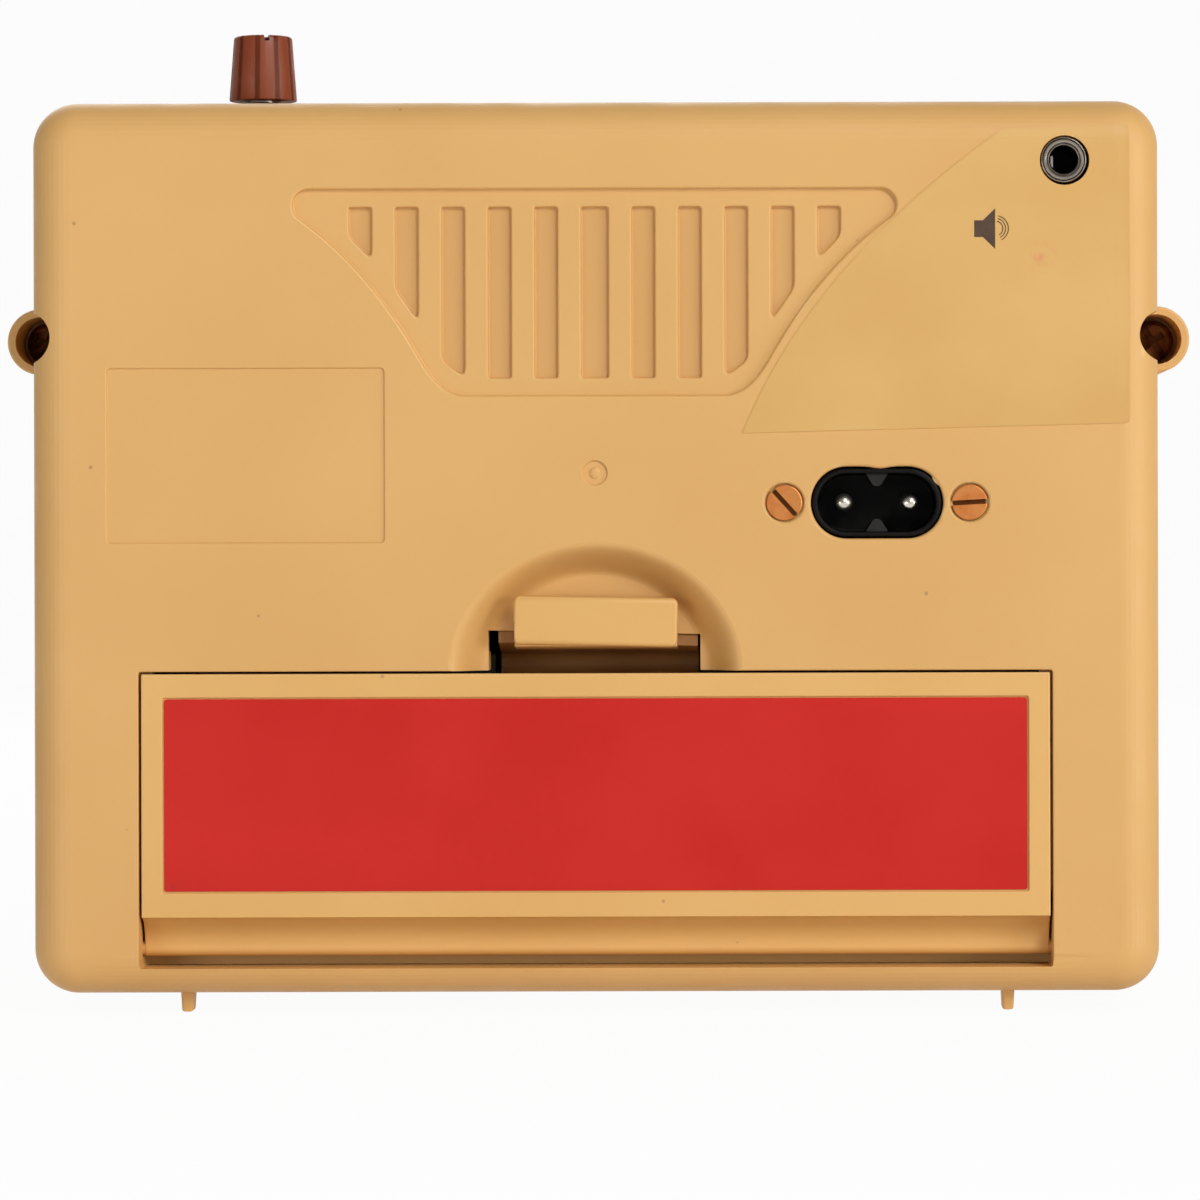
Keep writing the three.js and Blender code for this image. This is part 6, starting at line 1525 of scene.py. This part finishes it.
SPRING_AT = 52.65
for word, side, row in (("left", -1, CELL_ROWS[0]), ("right", 1, CELL_ROWS[1])):
    name = word + "_contact_spring"
    spring = run_tree(name, spring_tree, to_object(name, bmesh.new()), {
        "Turns": 4.0, "Foot Radius": 0.0036, "Tip Radius": 0.0024, "Length": 0.0075,
        "Wire Radius": 0.00035})
    stand(spring, (side * SPRING_AT, CELL_DEPTH, row), -90 * side)
    settle(finish_edges(spring, 60), "case", spring_steel, "contact_spring_" + word)


# Nuts are cold-formed zinc-plated steel with both faces chamfered: two hold the inlet from behind,
# and three hold the controls to the case.
def hexagon_nut(name, across_flats, thickness, bore):
    """A nut round the origin whose first face lies at depth zero."""
    corner = across_flats / math.sqrt(3)
    blank = centred(straight(name, circle_outline(0, 0, corner, 6), 0, thickness))
    chamfer = centred(round_tool("chamfer", 0, 0, [
        (across_flats * 0.48, -0.001), (corner + 0.05, 0.3), (corner + 0.05, thickness - 0.3),
        (across_flats * 0.48, thickness + 0.001)], 72))
    bored = centred(round_tool("bore", 0, 0, [
        (bore + 0.25, -0.5), (bore + 0.25, 0), (bore, 0.22), (bore, thickness - 0.22),
        (bore + 0.25, thickness), (bore + 0.25, thickness + 0.5)], 48))
    return carve(keep_common(blank, chamfer), [bored])


for side, node in ((-1, "inlet_nut_left"), (1, "inlet_nut_right")):
    nut = stand(hexagon_nut(node + "_formed", 5.0, 2.0, 1.25),
                (INLET_X + side * INLET_SCREW, 5.0, INLET_Z), 90)
    settle(finish_edges(nut, 20), "case", zinc, node)


# Each rotary control is a stamped steel can with a threaded brass bush, a phenolic tag strip and a
# steel shaft whose end has a flat. A nut on the bush holds it to the case.
thread_tree, given = new_tree("stack_of_copies", {"Count": "Int", "Pitch": "Float"})
rise = add(thread_tree, "ShaderNodeCombineXYZ", {"Y": given["Pitch"]})
levels = add(thread_tree, "GeometryNodeMeshLine", {
    "Count": given["Count"], "Offset": rise.outputs[0]})
stacked = add(thread_tree, "GeometryNodeInstanceOnPoints", {
    "Points": levels.outputs[0], "Instance": given["Geometry"]})
end_tree(thread_tree, given, stacked.outputs[0])
BUSH_PROUD, CAN_LENGTH = 4.4, 8


def control_can(name, radius):
    """A control round the origin: its seat at depth zero, its bush pointing along the depth."""
    can = centred(round_tool(name, 0, 0, [
        (radius - 1.4, -CAN_LENGTH), (radius - 0.5, -7.9), (radius - 0.1, -7.6), (radius, -7.1),
        (radius, -2.1), (radius - 0.25, -1.9), (radius - 0.25, -1.6), (radius, -1.4),
        (radius, -0.3), (radius - 0.3, 0), (3.0, 0), (3.0, BUSH_PROUD - 0.3),
        (2.75, BUSH_PROUD)], 72))
    tags = centred(box_tool("tag_strip", -4.5, 4.5, -7.0, -5.2, -radius - 2.9, -radius * 0.6))
    carve(can, [tags], "UNION")
    ring = centred(round_tool("thread_groove", 0, 0, [
        (2.82, 1.2), (3.2, 0.98), (3.2, 1.42)], 48, True))
    grooves = run_tree("thread", thread_tree, ring, {"Count": 7, "Pitch": 0.0005})
    bore = centred(round_tool("bore", 0, 0, [(BORE, -6.8), (BORE, BUSH_PROUD + 1)], 40))
    return carve(can, [grooves, bore])


def control_shaft(name, turn):
    """A shaft round the origin, from the floor of the can to the cap on its end."""
    shaft = centred(round_tool(name, 0, 0, [
        (1.8, -6.5), (2.0, -6.3), (2.0, 10.1), (1.85, 10.4)], 40))
    carve(shaft, [centred(box_tool("flat", -3, 3, 4.9, 12, 1.4, 4))])
    shaft.data.transform(Matrix.Rotation(math.radians(turn), 4, "Y"))
    return shaft


FRONT_SEAT, FRONT_NUT, TOP_SEAT, BUSH_NUT = 57.3, 59.4, -2.7, (8.0, 1.4, 3.15)
bush_brass = plated_metal("brass_turned_clean", 0xD9B36A, 0x9A7434, 0.3)
for body, across, can_radius, turn in (
        ("pitch", PITCH_X, 10.0, 0), ("fine_tune", FINE_X, 7.5, 12), ("volume", None, 7.5, -5.3)):
    can = control_can(body + "_control_can", can_radius)
    nut = hexagon_nut(body + "_control_nut", *BUSH_NUT)
    shaft = control_shaft(body + "_steel_shaft", turn)
    if across is None:
        nut.data.transform(Matrix.Rotation(math.radians(90), 4, "Y"))
        stand_on_top(can, TOP_SEAT)
        stand_on_top(nut, 0)
        stand_on_top(shaft, TOP_SEAT)
    else:
        stand_on_front(can, across, FRONT_SEAT)
        stand_on_front(nut, across, FRONT_NUT)
        stand_on_front(shaft, across, FRONT_SEAT)
    settle(finish_edges(can), "case", zinc, body + "_pot")
    second_finish(can, bush_brass, lambda x, d, h: (
        d > FRONT_SEAT + 0.1 or h > CASE_HEIGHT + TOP_SEAT + 0.1))
    settle(finish_edges(nut, 20), "case", zinc, body + "_nut")
    settle(finish_edges(shaft, 40), body, spring_steel, body + "_shaft")


# The slide switch behind the panel is a phenolic base in a folded steel frame, with an undercut
# channel for the slider's foot.
CHANNEL_HALF = 5.3
switch = slab("slide_switch_body", box_round(SWITCH_X, CONTROL_Z, 7.5, 3.5, 0.5, 4, False),
              MAIN_BOARD_FACE, 54.3, 0.2)
carve(switch, [
    box_tool("channel", SWITCH_X - CHANNEL_HALF, SWITCH_X + CHANNEL_HALF, 51.0, 52.8,
             CONTROL_Z - SLIDER_SIDE, CONTROL_Z + SLIDER_SIDE),
    box_tool("channel_mouth", SWITCH_X - CHANNEL_HALF, SWITCH_X + CHANNEL_HALF, 51.3, 56,
             CONTROL_Z - 1.05, CONTROL_Z + 1.05),
    box_tool("frame_line", SWITCH_X - 9, SWITCH_X + 9, 50.1, 50.3, CONTROL_Z + 3.3,
             CONTROL_Z + 4)])
settle(finish_edges(switch), "case", black_abs, "power_switch_body")
second_finish(switch, zinc, lambda x, d, h: d > 50.35 and abs(h - CONTROL_Z) > 1.9)


# The speaker's basket is pressed from steel sheet, with four windows and a stiffening bead in its
# rim. A ferrite ring magnet is glued behind it.
basket_profile = [(0.02, 45.1), (12.6, 45.1), (13.5, 45.25), (14.1, 45.6), (24.4, 55.7),
                  (25.0, 56.0), (25.6, 56.1), (28.3, 56.1), (28.5, 56.25), (28.5, 57.15),
                  (28.3, 57.3), (27.2, 57.3), (27.0, 57.1), (26.4, 57.1), (26.2, 57.3),
                  (24.9, 57.3), (24.1, 56.9), (13.6, 46.3), (12.8, 46.0), (0.02, 46.0)]
basket = centred(round_tool("speaker_pressed_basket", 0, 0, basket_profile, 96))
window = centred(slab("window", box_edge(13, 39, -7.5, 7.5, 1.0, 4, False), 46.9, 52.9, 0.05))
carve(basket, [run_tree("windows", ring_tree, window, {"Count": 4})])
settle(finish_edges(stand(basket, (0, 0, SPEAKER_Z))), "case", zinc, "speaker_basket")
magnet = round_tool("speaker_ferrite_magnet", 0, SPEAKER_Z, [
    (4.6, 37.6), (5.0, 36.8), (13.5, 36.8), (13.85, 36.95), (14, 37.3), (14, 44.3),
    (13.85, 44.65), (13.5, 44.8)], 72)
ferrite = moulded_plastic("ferrite_sintered", 0x2A2A2C, 0x46464A, 0.62, 0.4)
settle(finish_edges(magnet), "case", ferrite, "speaker_magnet")


# The two boards are paper-phenolic laminate, sheared to size and punched. Each is held to its
# posts by round-headed screws, and the wiring between them is left out.
def paper_phenolic(name, tone, dark_tone):
    """Paper laminate soaked in resin: an even brown with faint cloudy fibres and a slight sheen."""
    material = new_material(name)
    cloud = clouded(material, 3.5, 7.0, 0.35, 0.68, tone, dark_tone, 1.0, 0.6)
    gloss = add(material, "MapRange", {
        "Value": cloud["noise"], "To Min": 0.35, "To Max": 0.55})
    return end_material(material, cloud["colour"], gloss.outputs[0], cloud["noise"], 0.2, 0.00004,
                        {"IOR": 1.54})


laminate_brown = paper_phenolic("paper_phenolic_laminate", 0x9E7F45, 0x86672F)
for node in ("power_board", "main_board"):
    for kept_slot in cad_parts[node].material_slots:
        kept_slot.material = laminate_brown
power_screws = set_of_screws("power_board_screws", PAN_HEAD, [
    (across, 25.4, height, turn) for (across, height), turn in zip(BOARD_POSTS, (10, 55))],
    CROSS_RECESS, True, True)
settle(finish_edges(power_screws), "case", zinc, "power_board_screw_1", "power_board_screw_2")
main_screws = set_of_screws("main_board_screws", PAN_HEAD, [
    (side * MAIN_POST_X, 44.6, height, 30 * side + height)
    for side in (-1, 1) for height in MAIN_POST_HEIGHTS], CROSS_RECESS, True)
settle(finish_edges(main_screws), "case", zinc, "main_board_screw_1", "main_board_screw_2",
       "main_board_screw_3", "main_board_screw_4")


# The power board's transformer has a stack of stamped core plates round a taped winding. The
# capacitor beside it is an aluminium can in a shrunk sleeve, crimped near its foot.
CORE_X, CORE_Z, CORE_FROM, CORE_TO, PLATE_PITCH = 34, 64, 26.9, 34.9, 0.534
CAPACITOR_X, CAPACITOR_Z, POWER_BOARD_FACE = 52, 58, 23.9


def core_block(name, wide, tall, near, far, corner, edge):
    return slab(name, box_round(CORE_X, CORE_Z, wide / 2, tall / 2, corner, 5, False), near, far,
                edge)


winding = core_block("transformer_core_and_winding", 15, 13, POWER_BOARD_FACE, 37.9, 1.4, 0.5)
plates = run_tree("core_plates", thread_tree, core_block(
    "core_plate", 18, 16, CORE_FROM, CORE_FROM + 0.52, 0.3, 0.04),
    {"Count": 15, "Pitch": PLATE_PITCH / 1000})
plate_core = core_block("core_middle", 17.8, 15.8, CORE_FROM + 0.1, CORE_TO - 0.1, 0.3, 0.05)
carve(winding, [plate_core, plates], "UNION")
settle(finish_edges(winding), "case", ferrite, "power_transformer")
winding_tape = paper_phenolic("polyester_tape_yellowed", 0xC9A23A, 0xB98E2C)
second_finish(winding, winding_tape, lambda x, d, h: not CORE_FROM - 0.05 < d < CORE_TO + 0.05)
capacitor = round_tool("power_sleeved_capacitor", CAPACITOR_X, CAPACITOR_Z, [
    (4.4, POWER_BOARD_FACE), (4.8, 24.0), (5.0, 24.4), (5.0, 25.0), (4.6, 25.35), (4.55, 25.6),
    (4.65, 25.9), (5.0, 26.2), (5.0, 39.3), (4.9, 39.65), (4.6, 39.8), (4.3, 39.75),
    (4.2, 39.7)], 64)
for half_width, half_height in ((3.4, 0.15), (0.15, 3.4)):
    carve(capacitor, [box_tool(
        "vent", CAPACITOR_X - half_width, CAPACITOR_X + half_width, 39.5, 41,
        CAPACITOR_Z - half_height, CAPACITOR_Z + half_height)])
sleeve = moulded_plastic("blue_shrink_sleeve", 0x0C1A2A, 0x24364A, 0.3, 0.9)
settle(finish_edges(capacitor), "case", sleeve, "power_capacitor")
second_finish(capacitor, zinc, lambda x, d, h: (
    d > 39.4 and math.hypot(x - CAPACITOR_X, h - CAPACITOR_Z) < 4.25))
